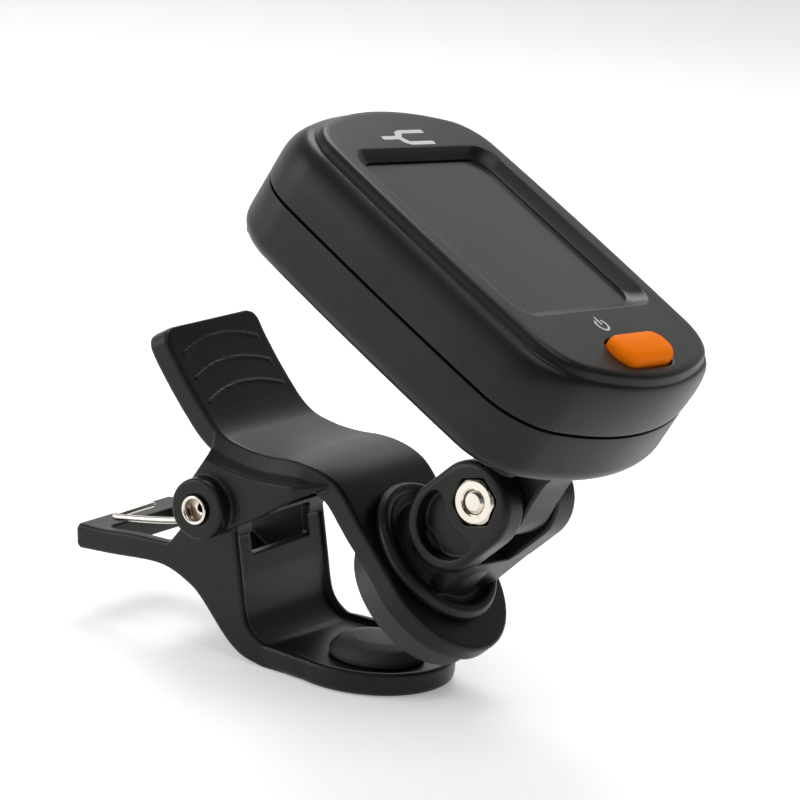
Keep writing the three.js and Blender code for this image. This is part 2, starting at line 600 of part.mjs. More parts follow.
// Leaf that presses on the cell's face and stands on the board by one tab.
function batteryContact(y0, y1, reach) {
  const leaf = box(CELL_X - 4, CELL_X + reach, y0, y1, CELL_Z + CELL_T + 0.2, CELL_Z + CELL_T + 0.5);
  const riser = box(CELL_X + reach - 0.4, CELL_X + reach, y0, y1,
    CELL_Z + CELL_T + 0.2, BOARD_Z - 0.2);
  return leaf.add(riser);
}

function batteryDoor() {
  const inner = DOOR_T + REAR_Z;
  const panel = box(CELL_X - DOOR_L / 2, CELL_X + DOOR_L / 2, -DOOR_W / 2, DOOR_W / 2, REAR_Z, inner);
  const groove = (i) => box(CELL_X + 6 + 1.6 * i, CELL_X + 6.8 + 1.6 * i, -6, 6, REAR_Z - 1, REAR_Z + 0.4);
  return [0, 1, 2].reduce((sum, i) => sum.subtract(groove(i)), panel);
}

function piezoSensor() {
  return turned([[0, 0], [6, 0], [6, 0.3], [4.2, 0.3], [4.2, 0.6], [0, 0.6]], 32);
}

function caseScrew(x, y) {
  const top = REAR_Z + 1.6;
  const body = solid(new THREE.LatheGeometry([
    [0, REAR_Z + 0.2], [SCREW_HEAD_R - 0.3, REAR_Z + 0.2], [SCREW_HEAD_R, REAR_Z + 0.5],
    [SCREW_HEAD_R, top], [SCREW_R, top], [SCREW_R, 21.4], [0, 22.2],
  ].map(([r, z]) => new THREE.Vector2(r, z)), 20).rotateX(Math.PI / 2).translate(x, y, 0));
  return body
    .subtract(box(x - 1.1, x + 1.1, y - 0.22, y + 0.22, REAR_Z - 1, REAR_Z + 0.9))
    .subtract(box(x - 0.22, x + 0.22, y - 1.1, y + 1.1, REAR_Z - 1, REAR_Z + 0.9));
}

// ---------- assembly ----------
const tuner = new THREE.Group();

const clipFrame = new THREE.Group();
clipFrame.position.set(PIVOT_X, 0, PIVOT_Z);
tuner.add(clipFrame);

const jawFrame = new THREE.Group();
jawFrame.rotation.y = JAW_TILT;
clipFrame.add(jawFrame);

const forkFrame = new THREE.Group();
forkFrame.position.set(SWIVEL_U, 0, DISC_TOP);
forkFrame.rotation.z = FORK_TURN;
jawFrame.add(forkFrame);

const headFrame = new THREE.Group();
headFrame.position.z = BOLT_H;
headFrame.rotation.y = HEAD_TILT;
forkFrame.add(headFrame);

piece('lower_jaw', lowerJaw(), satinBlack, clipFrame);
piece('lower_pad', lowerPad(), padGrey, clipFrame).position.x = LOWER_PAD_SHIFT - PIVOT_X;
piece('hinge_rivet', hingeRivet(), nickel, clipFrame);
piece('torsion_spring', torsionSpring(), nickel, clipFrame);
piece('upper_jaw', upperJaw(), satinBlack, clipFrame);
piece('upper_pad', upperPad(), padGrey, jawFrame).position.x = UPPER_DISC_U;

piece('fork', fork(), satinBlack, forkFrame);
piece('tilt_bolt', tiltBolt(), nickel, forkFrame);
piece('hex_nut', hexNut(), nickel, forkFrame);
piece('swivel_screw', swivelScrew(), steel, forkFrame);
piece('swivel_washer', swivelWasher(), steel, forkFrame);

piece('front_shell', frontShell(), satinBlack, headFrame);
piece('rear_shell', rearShell(), satinBlack, headFrame);
piece('display_lens', displayLens(), smokedLens, headFrame);
piece('lcd_panel', stack(28.4, 25.4, 21.7, 23.5), lcdGlass, headFrame);
piece('backlight_panel', stack(26, 24, 20.5, 21.3), diffuser, headFrame);
[-1, 1].forEach((side, i) => {
  piece(`zebra_strip_${i + 1}`, stack(1.4, 24, 20.1, 21.4, WINDOW_X + side * 14.1), zebraGrey, headFrame);
});
piece('circuit_board', circuitBoard(), boardGreen, headFrame);
piece('tact_switch', tactSwitch(), switchBlack, headFrame);
piece('controller_chip', stack(7, 7, BOARD_Z - 1.3, BOARD_Z - 0.2, -8), switchBlack, headFrame);
piece('quartz_crystal', stack(8, 3, BOARD_Z - 2.6, BOARD_Z - 0.2, -8), nickel, headFrame).position.y = 8;
piece('power_button', powerButton(), orange, headFrame);
piece('coin_cell', coinCell(), steel, headFrame).position.x = CELL_X;
piece('battery_contact_negative', batteryContact(-1.6, 1.6, 13), brass, headFrame);
piece('battery_contact_positive', batteryContact(5.2, 7.6, 12), brass, headFrame);
piece('battery_door', batteryDoor(), satinBlack, headFrame);
piece('piezo_sensor', piezoSensor(), brass, headFrame).position.set(-7.5, 0, REAR_Z + WALL + 0.3);
SCREW_SPOTS.forEach(([x, y], i) => {
  piece(`case_screw_${i + 1}`, caseScrew(x, y), steel, headFrame);
});

export default tuner;
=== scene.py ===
"""Looks of the clip-on tuner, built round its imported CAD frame. Lengths are in millimetres in the
local frames below, and every mesh is brought into the row frame, in metres, as its last step."""

import json
import math

import bmesh
import bpy
import numpy as np
from mathutils import Matrix, Vector
from mathutils.geometry import tessellate_polygon


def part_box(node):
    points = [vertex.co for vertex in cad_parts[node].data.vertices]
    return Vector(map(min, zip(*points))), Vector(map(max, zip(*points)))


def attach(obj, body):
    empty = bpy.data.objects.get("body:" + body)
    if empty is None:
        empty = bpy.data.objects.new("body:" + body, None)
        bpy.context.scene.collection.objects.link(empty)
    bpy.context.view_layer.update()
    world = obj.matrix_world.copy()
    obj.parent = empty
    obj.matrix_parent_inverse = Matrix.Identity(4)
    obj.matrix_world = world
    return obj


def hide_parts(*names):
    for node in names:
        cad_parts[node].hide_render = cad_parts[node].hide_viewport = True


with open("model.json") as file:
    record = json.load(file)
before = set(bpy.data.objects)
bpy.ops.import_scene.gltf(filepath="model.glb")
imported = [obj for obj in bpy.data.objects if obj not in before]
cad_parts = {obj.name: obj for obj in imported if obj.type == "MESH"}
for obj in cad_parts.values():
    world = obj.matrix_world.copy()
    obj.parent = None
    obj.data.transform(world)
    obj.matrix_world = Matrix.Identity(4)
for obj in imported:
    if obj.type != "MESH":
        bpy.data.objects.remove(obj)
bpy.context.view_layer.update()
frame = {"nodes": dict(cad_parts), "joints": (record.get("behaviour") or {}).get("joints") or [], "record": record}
MM = 0.001
JOINTS = {j["name"]: j for j in frame["joints"]}

# ---------------------------------------------------------------- frames


def axes(origin, y, z):
    """A frame in millimetres, from its origin in metres and its Y and Z directions."""
    z = Vector(z).normalized()
    y = Vector(y)
    y = (y - y.dot(z) * z).normalized()
    x = y.cross(z)
    m = Matrix((x, y, z)).transposed().to_4x4()
    return Matrix.Translation(origin) @ m @ Matrix.Scale(MM, 4)


SWIVEL = JOINTS["fork_swivel"]
TILT = JOINTS["head_tilt"]
PRESS = JOINTS["button_press"]
PIVOT = JOINTS["jaw_open"]["pos_m"]
CLIP = axes(PIVOT, (0, 1, 0), (0, 0, 1))
JAW = axes(PIVOT, (0, 1, 0), SWIVEL["axis"])
FORK = axes(SWIVEL["pos_m"], TILT["axis"], SWIVEL["axis"])
HEAD = axes(TILT["pos_m"], TILT["axis"], [-a for a in PRESS["axis"]])
TURN = math.radians(45.5)


def from_jaw(u, n):
    """A point of the jaw frame's X and Z in the clip frame's X and Z."""
    return (u * math.cos(TURN) + n * math.sin(TURN), -u * math.sin(TURN) + n * math.cos(TURN))


# ---------------------------------------------------------------- loops


def arc(cx, cy, r, a0, a1, n):
    a = np.radians(np.linspace(a0, a1, n))
    return np.stack([cx + r * np.cos(a), cy + r * np.sin(a)], 1)


def circle(r, cx=0.0, cy=0.0, n=64):
    return arc(cx, cy, r, 0, 360 - 360 / n, n)


def rect(x0, x1, y0, y1, r, n=8):
    """A rectangle with rounded corners, counter-clockwise."""
    return np.concatenate([arc(x1 - r, y1 - r, r, 0, 90, n), arc(x0 + r, y1 - r, r, 90, 180, n),
                           arc(x0 + r, y0 + r, r, 180, 270, n), arc(x1 - r, y0 + r, r, 270, 360, n)])


def spline(points, step=0.5):
    """A smooth line through the points, at about that spacing."""
    p = np.array(points, float)
    p = np.concatenate([[2 * p[0] - p[1]], p, [2 * p[-1] - p[-2]]])
    out = []
    for i in range(1, len(p) - 2):
        a, b, c, d = p[i - 1:i + 3]
        n = max(1, int(round(np.linalg.norm(c - b) / step)))
        t = (np.arange(n) / n)[:, None]
        out.append(0.5 * (2 * b + (c - a) * t + (2 * a - 5 * b + 4 * c - d) * t ** 2
                          + (3 * b - a - 3 * c + d) * t ** 3))
    out.append(p[-2:-1])
    return np.concatenate(out)


def fillet(points, radii, n=6):
    """A closed polygon with rounded corners."""
    p = np.array(points, float)
    radii = radii if hasattr(radii, "__len__") else [radii] * len(p)
    out = []
    for i, r in enumerate(radii):
        b, u, v = p[i], p[i - 1] - p[i], p[(i + 1) % len(p)] - p[i]
        lu, lv = np.linalg.norm(u), np.linalg.norm(v)
        u, v = u / lu, v / lv
        half = math.acos(max(-1, min(1, u @ v))) / 2
        if r < 1e-6 or half > 1.55:
            out.append(b[None])
            continue
        cut = min(r / math.tan(half), 0.48 * min(lu, lv))
        r = cut * math.tan(half)
        c = b + (u + v) / np.linalg.norm(u + v) * (r / math.sin(half))
        s, e = b + u * cut - c, b + v * cut - c
        a0, a1 = math.atan2(s[1], s[0]), math.atan2(e[1], e[0])
        d = (a1 - a0 + math.pi) % (2 * math.pi) - math.pi
        out.append(c + r * np.stack([np.cos(a0 + d * np.linspace(0, 1, n)),
                                     np.sin(a0 + d * np.linspace(0, 1, n))], 1))
    return np.concatenate(out)


def area2(loop):
    x, y = loop[:, 0], loop[:, 1]
    return float(np.sum(x * np.roll(y, -1) - np.roll(x, -1) * y))


def ccw(loop):
    return loop if area2(loop) > 0 else loop[::-1]


def inset(loop, d):
    """A counter-clockwise loop, moved inwards by d along its own normals."""
    if abs(d) < 1e-9:
        return loop.copy()
    e0 = loop - np.roll(loop, 1, 0)
    e1 = np.roll(loop, -1, 0) - loop
    n0 = np.stack([-e0[:, 1], e0[:, 0]], 1) / np.maximum(np.linalg.norm(e0, axis=1), 1e-9)[:, None]
    n1 = np.stack([-e1[:, 1], e1[:, 0]], 1) / np.maximum(np.linalg.norm(e1, axis=1), 1e-9)[:, None]
    n = n0 + n1
    n /= np.maximum(np.linalg.norm(n, axis=1), 1e-9)[:, None]
    k = 1 / np.maximum((n * n1).sum(1), 0.6)
    return loop + n * (d * k)[:, None]


# ---------------------------------------------------------------- meshes


class Shell:
    """Collects rings and the faces between them."""

    def __init__(self):
        self.v, self.f = [], []

    def ring(self, points):
        start = len(self.v)
        self.v += [tuple(map(float, p)) for p in points]
        return list(range(start, start + len(points)))

    def bridge(self, a, b):
        n = len(a)
        self.f += [(a[i], a[(i + 1) % n], b[(i + 1) % n], b[i]) for i in range(n)]

    def chain(self, rings):
        for a, b in zip(rings, rings[1:]):
            self.bridge(a, b)

    def fill(self, *rings):
        """A flat face with holes: the first ring is its edge, the others its holes."""
        flat = [i for r in rings for i in r]
        for t in tessellate_polygon([[Vector(self.v[i]) for i in r] for r in rings]):
            self.f.append(tuple(flat[k] for k in t))

    def mesh(self, name, closed=True):
        me = bpy.data.meshes.new(name)
        me.from_pydata(self.v, [], self.f)
        bm = bmesh.new()
        bm.from_mesh(me)
        bmesh.ops.remove_doubles(bm, verts=bm.verts, dist=1e-5)
        bmesh.ops.dissolve_degenerate(bm, dist=1e-5, edges=bm.edges)
        if closed:
            bmesh.ops.holes_fill(bm, edges=[e for e in bm.edges if len(e.link_faces) == 1], sides=0)
        bmesh.ops.recalc_face_normals(bm, faces=bm.faces)
        bm.to_mesh(me)
        bm.free()
        return me


FLAT, SIDE = "xy", "xz"


def put(loop, depth, plane):
    """A loop's points in space: FLAT loops are drawn in X and Y, SIDE loops in X and Z."""
    d = np.full(len(loop), float(depth))
    if plane == FLAT:
        return np.stack([loop[:, 0], loop[:, 1], d], 1)
    return np.stack([loop[:, 0], d, loop[:, 1]], 1)


def rounding(r, steps=4):
    """(inset, depth) pairs from a face's edge, r in, to the wall, r down."""
    a = np.linspace(0, math.pi / 2, steps + 1)
    return [(r * (1 - math.sin(t)), r * (1 - math.cos(t))) for t in a]


def plate(outer, lo, hi, r=0.4, openings=(), plane=FLAT, steps=4):
    """A plate between two depths, with rounded edges. An opening is (loop, kind, depth, rounding):
    kind is "hi" or "lo" for a pocket in that face, or "through"."""
    s = Shell()
    outer = ccw(np.array(outer, float))
    rl, rh = r if hasattr(r, "__len__") else (r, r)
    low = [s.ring(put(inset(outer, i), lo + d, plane)) for i, d in rounding(rl, steps)]
    high = [s.ring(put(inset(outer, i), hi - d, plane)) for i, d in rounding(rh, steps)]
    s.chain(low + high[::-1])
    faces = {"lo": [low[0]], "hi": [high[0]]}
    for loop, kind, depth, rr in openings:
        loop = ccw(np.array(loop, float))
        if kind == "through":
            a = [s.ring(put(inset(loop, -i), hi - d, plane)) for i, d in rounding(rr, 3)]
            b = [s.ring(put(inset(loop, -i), lo + d, plane)) for i, d in rounding(rr, 3)]
            s.chain(a + b[::-1])
            faces["hi"].append(a[0])
            faces["lo"].append(b[0])
        else:
            sign = -1 if kind == "hi" else 1
            z = hi if kind == "hi" else lo
            a = [s.ring(put(inset(loop, -i), z + sign * d, plane)) for i, d in rounding(rr, 3)]
            a.append(s.ring(put(loop, z + sign * (depth - 0.15), plane)))
            a.append(s.ring(put(inset(loop, 0.15), z + sign * depth, plane)))
            s.chain(a)
            s.fill(a[-1])
            faces[kind].append(a[0])
    s.fill(*faces["hi"])
    s.fill(*faces["lo"])
    return s


def turned(profile, n=64, axis="z", centre=(0, 0)):
    """A solid of revolution. Profile points are (radius, height), and the ends may be on the axis."""
    s = Shell()
    rings = []
    a = np.linspace(0, 2 * math.pi, n, endpoint=False)
    for r, h in profile:
        if r < 1e-6:
            rings.append(s.ring([(*centre, h) if axis == "z" else (centre[0], h, centre[1])]))
            continue
        c, d = centre[0] + r * np.cos(a), centre[1] + r * np.sin(a)
        e = np.full(n, float(h))
        rings.append(s.ring(np.stack([c, d, e] if axis == "z" else [c, e, d], 1)))
    pairs = list(zip(rings, rings[1:]))
    if len(rings[0]) > 1 and len(rings[-1]) > 1:
        pairs.append((rings[-1], rings[0]))
    for p, q in pairs:
        if len(p) == 1 and len(q) == 1:
            continue
        if len(p) == 1:
            s.f += [(p[0], q[i], q[(i + 1) % n]) for i in range(n)]
        elif len(q) == 1:
            s.f += [(q[0], p[(i + 1) % n], p[i]) for i in range(n)]
        else:
            s.bridge(p, q)
    return s


def rod(r, lo, hi, n=40, axis="y", centre=(0, 0)):
    """A plain cylinder."""
    return turned([(0, lo), (r, lo), (r, hi), (0, hi)], n, axis, centre)


def round_profile(points, n=5):
    """A turned profile with rounded corners: points are (radius, height, corner radius)."""
    p = [np.array(q[:2], float) for q in points]
    out = [p[0]]
    for i in range(1, len(points) - 1):
        r = points[i][2] if len(points[i]) > 2 else 0
        b, u, v = p[i], p[i - 1] - p[i], p[i + 1] - p[i]
        lu, lv = np.linalg.norm(u), np.linalg.norm(v)
        u, v = u / lu, v / lv
        half = math.acos(max(-1, min(1, u @ v))) / 2
        if r < 1e-6 or half > 1.55:
            out.append(b)
            continue
        cut = min(r / math.tan(half), 0.49 * lu, 0.49 * lv)
        for t in np.linspace(0, 1, n):
            s, e = b + u * cut, b + v * cut
            out.append((1 - t) ** 2 * s + 2 * t * (1 - t) * b + t * t * e)
    out.append(p[-1])
    return [tuple(q) for q in out]


ACROSS_ANY_WIRE = (0.31, 0.47, 0.83)


def tube(points, r, n=14):
    """A round wire along the points, with domed ends."""
    p = np.array(points, float)
    ahead = np.gradient(p, axis=0)
    ahead /= np.linalg.norm(ahead, axis=1)[:, None]
    s = Shell()
    side = np.cross(ahead[0], ACROSS_ANY_WIRE)
    side /= np.linalg.norm(side)
    angles = np.linspace(0, 2 * math.pi, n, endpoint=False)
    domes = {0: [(0.35, -0.9), (0.8, -0.6), (1, 0)], len(p) - 1: [(1, 0), (0.8, 0.6), (0.35, 0.9)]}
    rings = []
    for i, (centre, way) in enumerate(zip(p, ahead)):
        side = side - (side @ way) * way
        side /= np.linalg.norm(side)
        up = np.cross(way, side)
        for scale, shift in domes.get(i, [(1, 0)]):
            middle = centre + shift * r * way
            spokes = [math.cos(q) * side + math.sin(q) * up for q in angles]
            rings.append(s.ring([middle + scale * r * spoke for spoke in spokes]))
    s.chain(rings)
    s.fill(rings[0])
    s.fill(rings[-1])
    return s


def strip(top, bottom, half, r, ends, n=5):
    """A bent bar: its upper and lower lines in X and Z, with as many points in each, and half its
    width at each. ends are the radii of its plan corners at the first and last station."""
    top, bottom = np.array(top, float), np.array(bottom, float)
    s = Shell()
    mid = (top + bottom) / 2
    run = np.concatenate([[0], np.cumsum(np.linalg.norm(np.diff(mid, axis=0), axis=1))])
    rings = []
    for i in range(len(top)):
        w = half[i]
        for e, d in ((ends[0], run[i]), (ends[1], run[-1] - run[i])):
            if d < e:
                w = min(w, half[i] - e + math.sqrt(max(0, e * e - (e - d) ** 2)))
        up = top[i] - bottom[i]
        t = np.linalg.norm(up)
        up = up / t
        q = min(r, 0.48 * t)
        loop = rect(-w, w, -t / 2, t / 2, q, n)
        rings.append(s.ring([(mid[i][0] + b * up[0], a, mid[i][1] + b * up[1]) for a, b in loop]))
    s.chain(rings)
    s.fill(rings[0])
    s.fill(rings[-1])
    return s


# ---------------------------------------------------------------- objects


def thing(name, shell):
    o = bpy.data.objects.new(name, shell.mesh(name) if isinstance(shell, Shell) else shell)
    bpy.context.scene.collection.objects.link(o)
    return o


def applied(o):
    """Applies an object's modifiers."""
    bpy.context.view_layer.update()
    me = bpy.data.meshes.new_from_object(o.evaluated_get(bpy.context.evaluated_depsgraph_get()))
    o.modifiers.clear()
    old = o.data
    o.data = me
    bpy.data.meshes.remove(old)
    return o


def combine(name, first, adds=(), cuts=(), common=(), solver="MANIFOLD"):
    """One solid: the first shell, joined with others, cut down to what it has in common with
    others, and with others cut away."""
    o = thing(name, first)
    for kind, shells in (("UNION", adds), ("INTERSECT", common), ("DIFFERENCE", cuts)):
        for shell in shells:
            tool = thing(name + "_tool", shell)
            m = o.modifiers.new("b", "BOOLEAN")
            m.operation, m.solver, m.object = kind, solver, tool
            applied(o)
            bpy.data.objects.remove(tool)
    return o


def combined(a, b):
    """The union of two shells, as a shell."""
    o = combine("union", a, [b])
    s = Shell()
    s.v = [tuple(v.co) for v in o.data.vertices]
    s.f = [tuple(p.vertices) for p in o.data.polygons]
    bpy.data.objects.remove(o)
    return s


def moulded(o, voxel):
    """Rounds every edge and inner corner of a solid, as a mould does."""
    m = o.modifiers.new("r", "REMESH")
    m.mode, m.voxel_size = "VOXEL", voxel
    m = o.modifiers.new("s", "SMOOTH")
    m.factor, m.iterations = 0.5, 3
    return applied(o)


def piece(o, at, body, material, nodes=(), sharp=None):
    """Puts a finished solid in the row frame and hands it to its CAD body."""
    o.data.transform(at)
    o.data.polygons.foreach_set("use_smooth", [True] * len(o.data.polygons))
    if sharp is not None:
        o.data.set_sharp_from_angle(angle=math.radians(sharp))
        m = o.modifiers.new("w", "WEIGHTED_NORMAL")
        m.keep_sharp = True
        applied(o)
    o.data.name = o.name
    o.data.materials.clear()
    o.data.materials.append(material)
    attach(o, body)
    if nodes:
        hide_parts(*nodes)
    return o


# ---------------------------------------------------------------- materials


def node(tree, kind, **values):
    """A new shader node. Each value is for the input of that name, with spaces for underscores."""
    n = tree.nodes.new(kind)
    for key, value in values.items():
        n.inputs[key.replace("_", " ")].default_value = value
    return n


def surface(name, base, rough, metal=0.0, spread=0.2, grain=(2600, 0.05), smear=60, tint=0.25,
            painted_edge_highlight=None, brushed=False, coat=0.0, coat_rough=0.1, specular=0.5):
    """A procedural finish: moulded or machined grain, patches of other roughness and colour, and a painted
    highlight of paler colour on sharp edges. grain is (scale, depth)."""
    m = bpy.data.materials.new(name)
    m.use_nodes = True
    t = m.node_tree
    t.nodes.clear()
    out = node(t, "ShaderNodeOutputMaterial")
    b = node(t, "ShaderNodeBsdfPrincipled", Metallic=metal, Coat_Weight=coat, Coat_Roughness=coat_rough,
             Specular_IOR_Level=specular)
    t.links.new(b.outputs[0], out.inputs[0])
    place = node(t, "ShaderNodeTexCoord").outputs["Object"]
    fine_place = place
    if brushed:
        stretch = node(t, "ShaderNodeMapping", Scale=(0.12, 1, 1))
        t.links.new(place, stretch.inputs[0])
        fine_place = stretch.outputs[0]

    def noise(scale, detail, source):
        n = node(t, "ShaderNodeTexNoise", Scale=scale, Detail=detail)
        t.links.new(source, n.inputs["Vector"])
        return n.outputs["Fac"]

    def ranged(value, low, high, first=0.3, last=0.7):
        n = node(t, "ShaderNodeMapRange", From_Min=first, From_Max=last, To_Min=low, To_Max=high)
        t.links.new(value, n.inputs["Value"])
        return n.outputs["Result"]

    def mixed(factor, low, high):
        n = node(t, "ShaderNodeMix")
        n.data_type = "RGBA"
        t.links.new(factor, n.inputs[0])
        for socket, value in ((n.inputs[6], low), (n.inputs[7], high)):
            if isinstance(value, tuple):
                socket.default_value = (*value, 1)
            else:
                t.links.new(value, socket)
        return n.outputs[2]

    patches = noise(smear, 5, place)
    t.links.new(ranged(patches, rough * (1 - spread), rough * (1 + spread)), b.inputs["Roughness"])
    pale = tuple(min(1, c * (1 + tint) + 0.002) for c in base)
    dark = tuple(c * (1 - tint) for c in base)
    colour = mixed(ranged(noise(smear * 2.3, 6, place), 0, 1), dark, pale)
    # Painted highlight: sharp edges, found by pointiness, are mixed towards a paler colour, as if they caught the
    # light.
    if painted_edge_highlight:
        edges = node(t, "ShaderNodeNewGeometry").outputs["Pointiness"]
        colour = mixed(ranged(edges, 0, 0.5, 0.53, 0.62), colour, painted_edge_highlight)
    t.links.new(colour, b.inputs["Base Color"])
    bump = node(t, "ShaderNodeBump", Strength=grain[1], Distance=0.0001)
    t.links.new(noise(grain[0], 3, fine_place), bump.inputs["Height"])
    t.links.new(bump.outputs[0], b.inputs["Normal"])
    return m


# The satin black's paler edge colour is a painted highlight, not wear.
BLACK = surface("satin_black", (0.0062, 0.0060, 0.0055), 0.36, spread=0.14, grain=(3200, 0.10),
                painted_edge_highlight=(0.02, 0.02, 0.019), specular=0.26)
RUBBER = surface("dark_rubber", (0.034, 0.034, 0.035), 0.62, grain=(1800, 0.2))
GREY_RUBBER = surface("grey_rubber", (0.026, 0.026, 0.028), 0.6, grain=(1800, 0.2))
ORANGE = surface("orange_plastic", (1.0, 0.205, 0.0), 0.6, spread=0.1, grain=(2600, 0.06), tint=0.04,
                 specular=0.06)
LENS = surface("smoked_lens", (0.014, 0.0115, 0.0095), 0.16, spread=0.15, grain=(300, 0.01), tint=0.1,
               coat=0.05, coat_rough=0.05, specular=0.35)
NICKEL = surface("nickel_plate", (0.74, 0.68, 0.61), 0.2, metal=1, grain=(1400, 0.06), tint=0.08)
WIRE = surface("spring_wire", (0.68, 0.65, 0.60), 0.22, metal=1, grain=(900, 0.05), tint=0.08,
               brushed=True)
ZINC = surface("zinc_steel", (0.55, 0.55, 0.54), 0.28, metal=1, grain=(900, 0.08), tint=0.1, brushed=True)
BRASS = surface("contact_brass", (0.6, 0.42, 0.15), 0.3, metal=1, grain=(900, 0.06), tint=0.12,
                brushed=True)
BOARD = surface("circuit_green", (0.02, 0.11, 0.04), 0.4, grain=(700, 0.1))
CHIP = surface("component_black", (0.018, 0.018, 0.019), 0.5, grain=(2200, 0.2))
GLASS = surface("lcd_glass", (0.11, 0.13, 0.12), 0.12, grain=(300, 0.01), tint=0.08)
MILK = surface("white_diffuser", (0.72, 0.76, 0.75), 0.45, grain=(1200, 0.05), tint=0.04)
PRINT = surface("white_print", (0.62, 0.62, 0.61), 0.45, grain=(2600, 0.1), tint=0.08)

CAD_FINISH = {"grey_rubber": GREY_RUBBER, "dark_rubber": RUBBER, "satin_black_plastic": BLACK,
              "nickel_steel": NICKEL, "spring_wire": WIRE, "zinc_steel": ZINC, "smoked_lens": LENS,
              "lcd_glass": GLASS, "white_diffuser": MILK, "circuit_green": BOARD,
              "component_black": CHIP, "orange_button": ORANGE, "contact_brass": BRASS}
for part in frame["record"]["subparts"]:
    mesh = frame["nodes"][part["node"]].data
    mesh.materials.clear()
    mesh.materials.append(CAD_FINISH[part["material_slot"]])

# ---------------------------------------------------------------- sizes shared with the frame

HALF = 10.35  # half of the jaws' width
CHEEK_IN, CHEEK_OUT, BOSS_OUT, BOSS_R = 10.6, 12.4, 14.5, 4.0
WALL_IN = 8.4  # inner side of the lower jaw's walls
DISC_TOP, DISC_LOW, DISC_R, DISC_U = 17.3, 14.5, 11.0, 23.3  # upper jaw's round end, jaw frame
SWIVEL_U = 20.4
PLATE_TOP, PLATE_SINK, FLOOR = -16.7, 0.9, -19.8  # lower jaw's plate, clip frame
LOWER_R, LOWER_X, LOWER_PAD_X = 11.2, 18.7, 19.9
BOLT_H, FORK_IN, FORK_OUT, EAR_R = 14.3, 3.7, 7.5, 5.75  # fork frame
FACE, PART, REAR = 26.4, 17.6, 9.5  # heights of the face, the parting line and the rear, head frame
THROUGH = 20  # half the length of a cutter that goes through everything

# ---------------------------------------------------------------- lower jaw


def lower_jaw():
    """Thumb frame, side walls, front wall with its window, and the plate with its round end: one
    bent outline across the jaw's width, then hollowed."""
    under = spline([(-21.3, -11.1), (-16.0, -10.7), (-9.5, -10.1), (-6.2, -10.5), (-2.9, -11.9),
                    (-1.1, -13.3), (0.7, -15.1), (2.4, -16.8), (4.1, -18.2), (6.0, -19.2), (9.0, -19.8)])
    over = spline([(-6.9, -6.7), (-7.4, -6.95), (-13.0, -7.2), (-17.9, -7.7), (-21.75, -7.8)])
    front = spline([(9.6, -16.7), (8.7, -16.65), (7.1, -15.7), (6.1, -14.4), (5.5, -12.6), (4.7, -9.1),
                    (3.3, -3.1)])
    back = np.array([(-3.9, -0.9), (-4.4, -2.6), (-5.4, -4.6)])
    outline = np.concatenate([under, [(LOWER_X, FLOOR)], [(LOWER_X, PLATE_TOP)], front,
                              arc(0, 0, 3.7, -15, 170, 16), back, over, [(-22.1, -8.4), (-21.85, -10.7)]])
    body = plate(outline, -HALF + 0.15, HALF - 0.15, 0.5, plane=SIDE)
    rounds = (1.1, 0.45)
    disc = turned(round_profile([(0, FLOOR), (LOWER_R, FLOOR, rounds[0]), (LOWER_R, PLATE_TOP, rounds[1]),
                                 (0, PLATE_TOP)]), n=96, centre=(LOWER_X, 0))
    flare = plate([(9.4, -10.2), (14.0, -10.75), (LOWER_X, -11.1), (LOWER_X, 11.1), (14.0, 10.75),
                   (9.4, 10.2)], FLOOR, PLATE_TOP, rounds)
    sink = PLATE_TOP - PLATE_SINK
    sunk = turned([(0, sink), (LOWER_R - 1.15, sink), (LOWER_R - 0.95, PLATE_TOP + 1), (0, PLATE_TOP + 1)],
                  n=96, centre=(LOWER_X, 0))
    hollow = plate([(-7.4, 6), (-7.4, -8.6), (-1.6, -11.8), (3.6, -11.8), (1.7, -1.4), (1.7, 6)],
                   -WALL_IN, WALL_IN, 0.3, plane=SIDE)
    window = plate(rect(-6.4, 6.4, -6.6, -2.1, 0.5), 0, 8, 0.05, plane=FLAT)
    window.v = [(z, x, y) for x, y, z in window.v]
    wall_top = plate([(0.8, -1.4), (7, -1.4), (7, 6), (0.8, 6)], -WALL_IN, WALL_IN, 0.3, plane=SIDE)
    normal = np.stack([np.gradient(front[:, 1]), -np.gradient(front[:, 0])], 1)
    normal /= np.linalg.norm(normal, axis=1)[:, None]
    deep = np.interp(np.arange(len(front)), [0, 8, 20], [PLATE_SINK, 0.75, 0.35])
    recessed = front - normal * deep[:, None]
    recess = plate(np.concatenate([[(LOWER_X, sink)], recessed[1:-1], [(14, -3.2), (LOWER_X, -12)]]),
                   -9.3, 9.3, 0.3, plane=SIDE)
    opening = plate(rect(-18.0, -7.2, -WALL_IN, WALL_IN, 1.1), -14, -4, 0.1)
    bore = rod(1.65, -THROUGH, THROUGH)
    coil_way = rod(2.72, -WALL_IN, WALL_IN)
    cuts = [sunk, hollow, window, wall_top, recess, opening, bore, coil_way]
    return moulded(combine("lower_jaw_moulding", body, [disc, flare], cuts), 0.17)


def lower_pad():
    """A low dome that stands in the sunk plate."""
    base = PLATE_TOP - PLATE_SINK + 0.1
    return turned(round_profile([(0, base), (6.2, base, 0.3), (6.2, base + 0.8, 0.6), (5.2, base + 1.95, 1.4),
                                 (3.2, base + 2.4, 1.6), (0, base + 2.4)], 7), n=96)


# ---------------------------------------------------------------- upper jaw

TOP_LINE = [(-10.3, 20.9), (-8.9, 18.6), (-7.1, 16.3), (-5.3, 14.2), (-3.5, 12.25), (-1.8, 10.55),
            (-0.1, 9.35), (1.6, 8.65), (4.7, 8.1), (7.9, 8.0), (10.9, 8.2), (13.8, 8.05), (16.6, 7.3),
            (18.9, 5.85)]
STRIP_SIDE = 10.37  # where a cheek leaves the strip's side


def in_clip(shell):
    """Brings a shell of the jaw frame into the clip frame."""
    shell.v = [(from_jaw(x, z)[0], y, from_jaw(x, z)[1]) for x, y, z in shell.v]
    return shell


def length_along(line):
    return np.concatenate([[0], np.cumsum(np.linalg.norm(np.diff(line, axis=0), axis=1))])


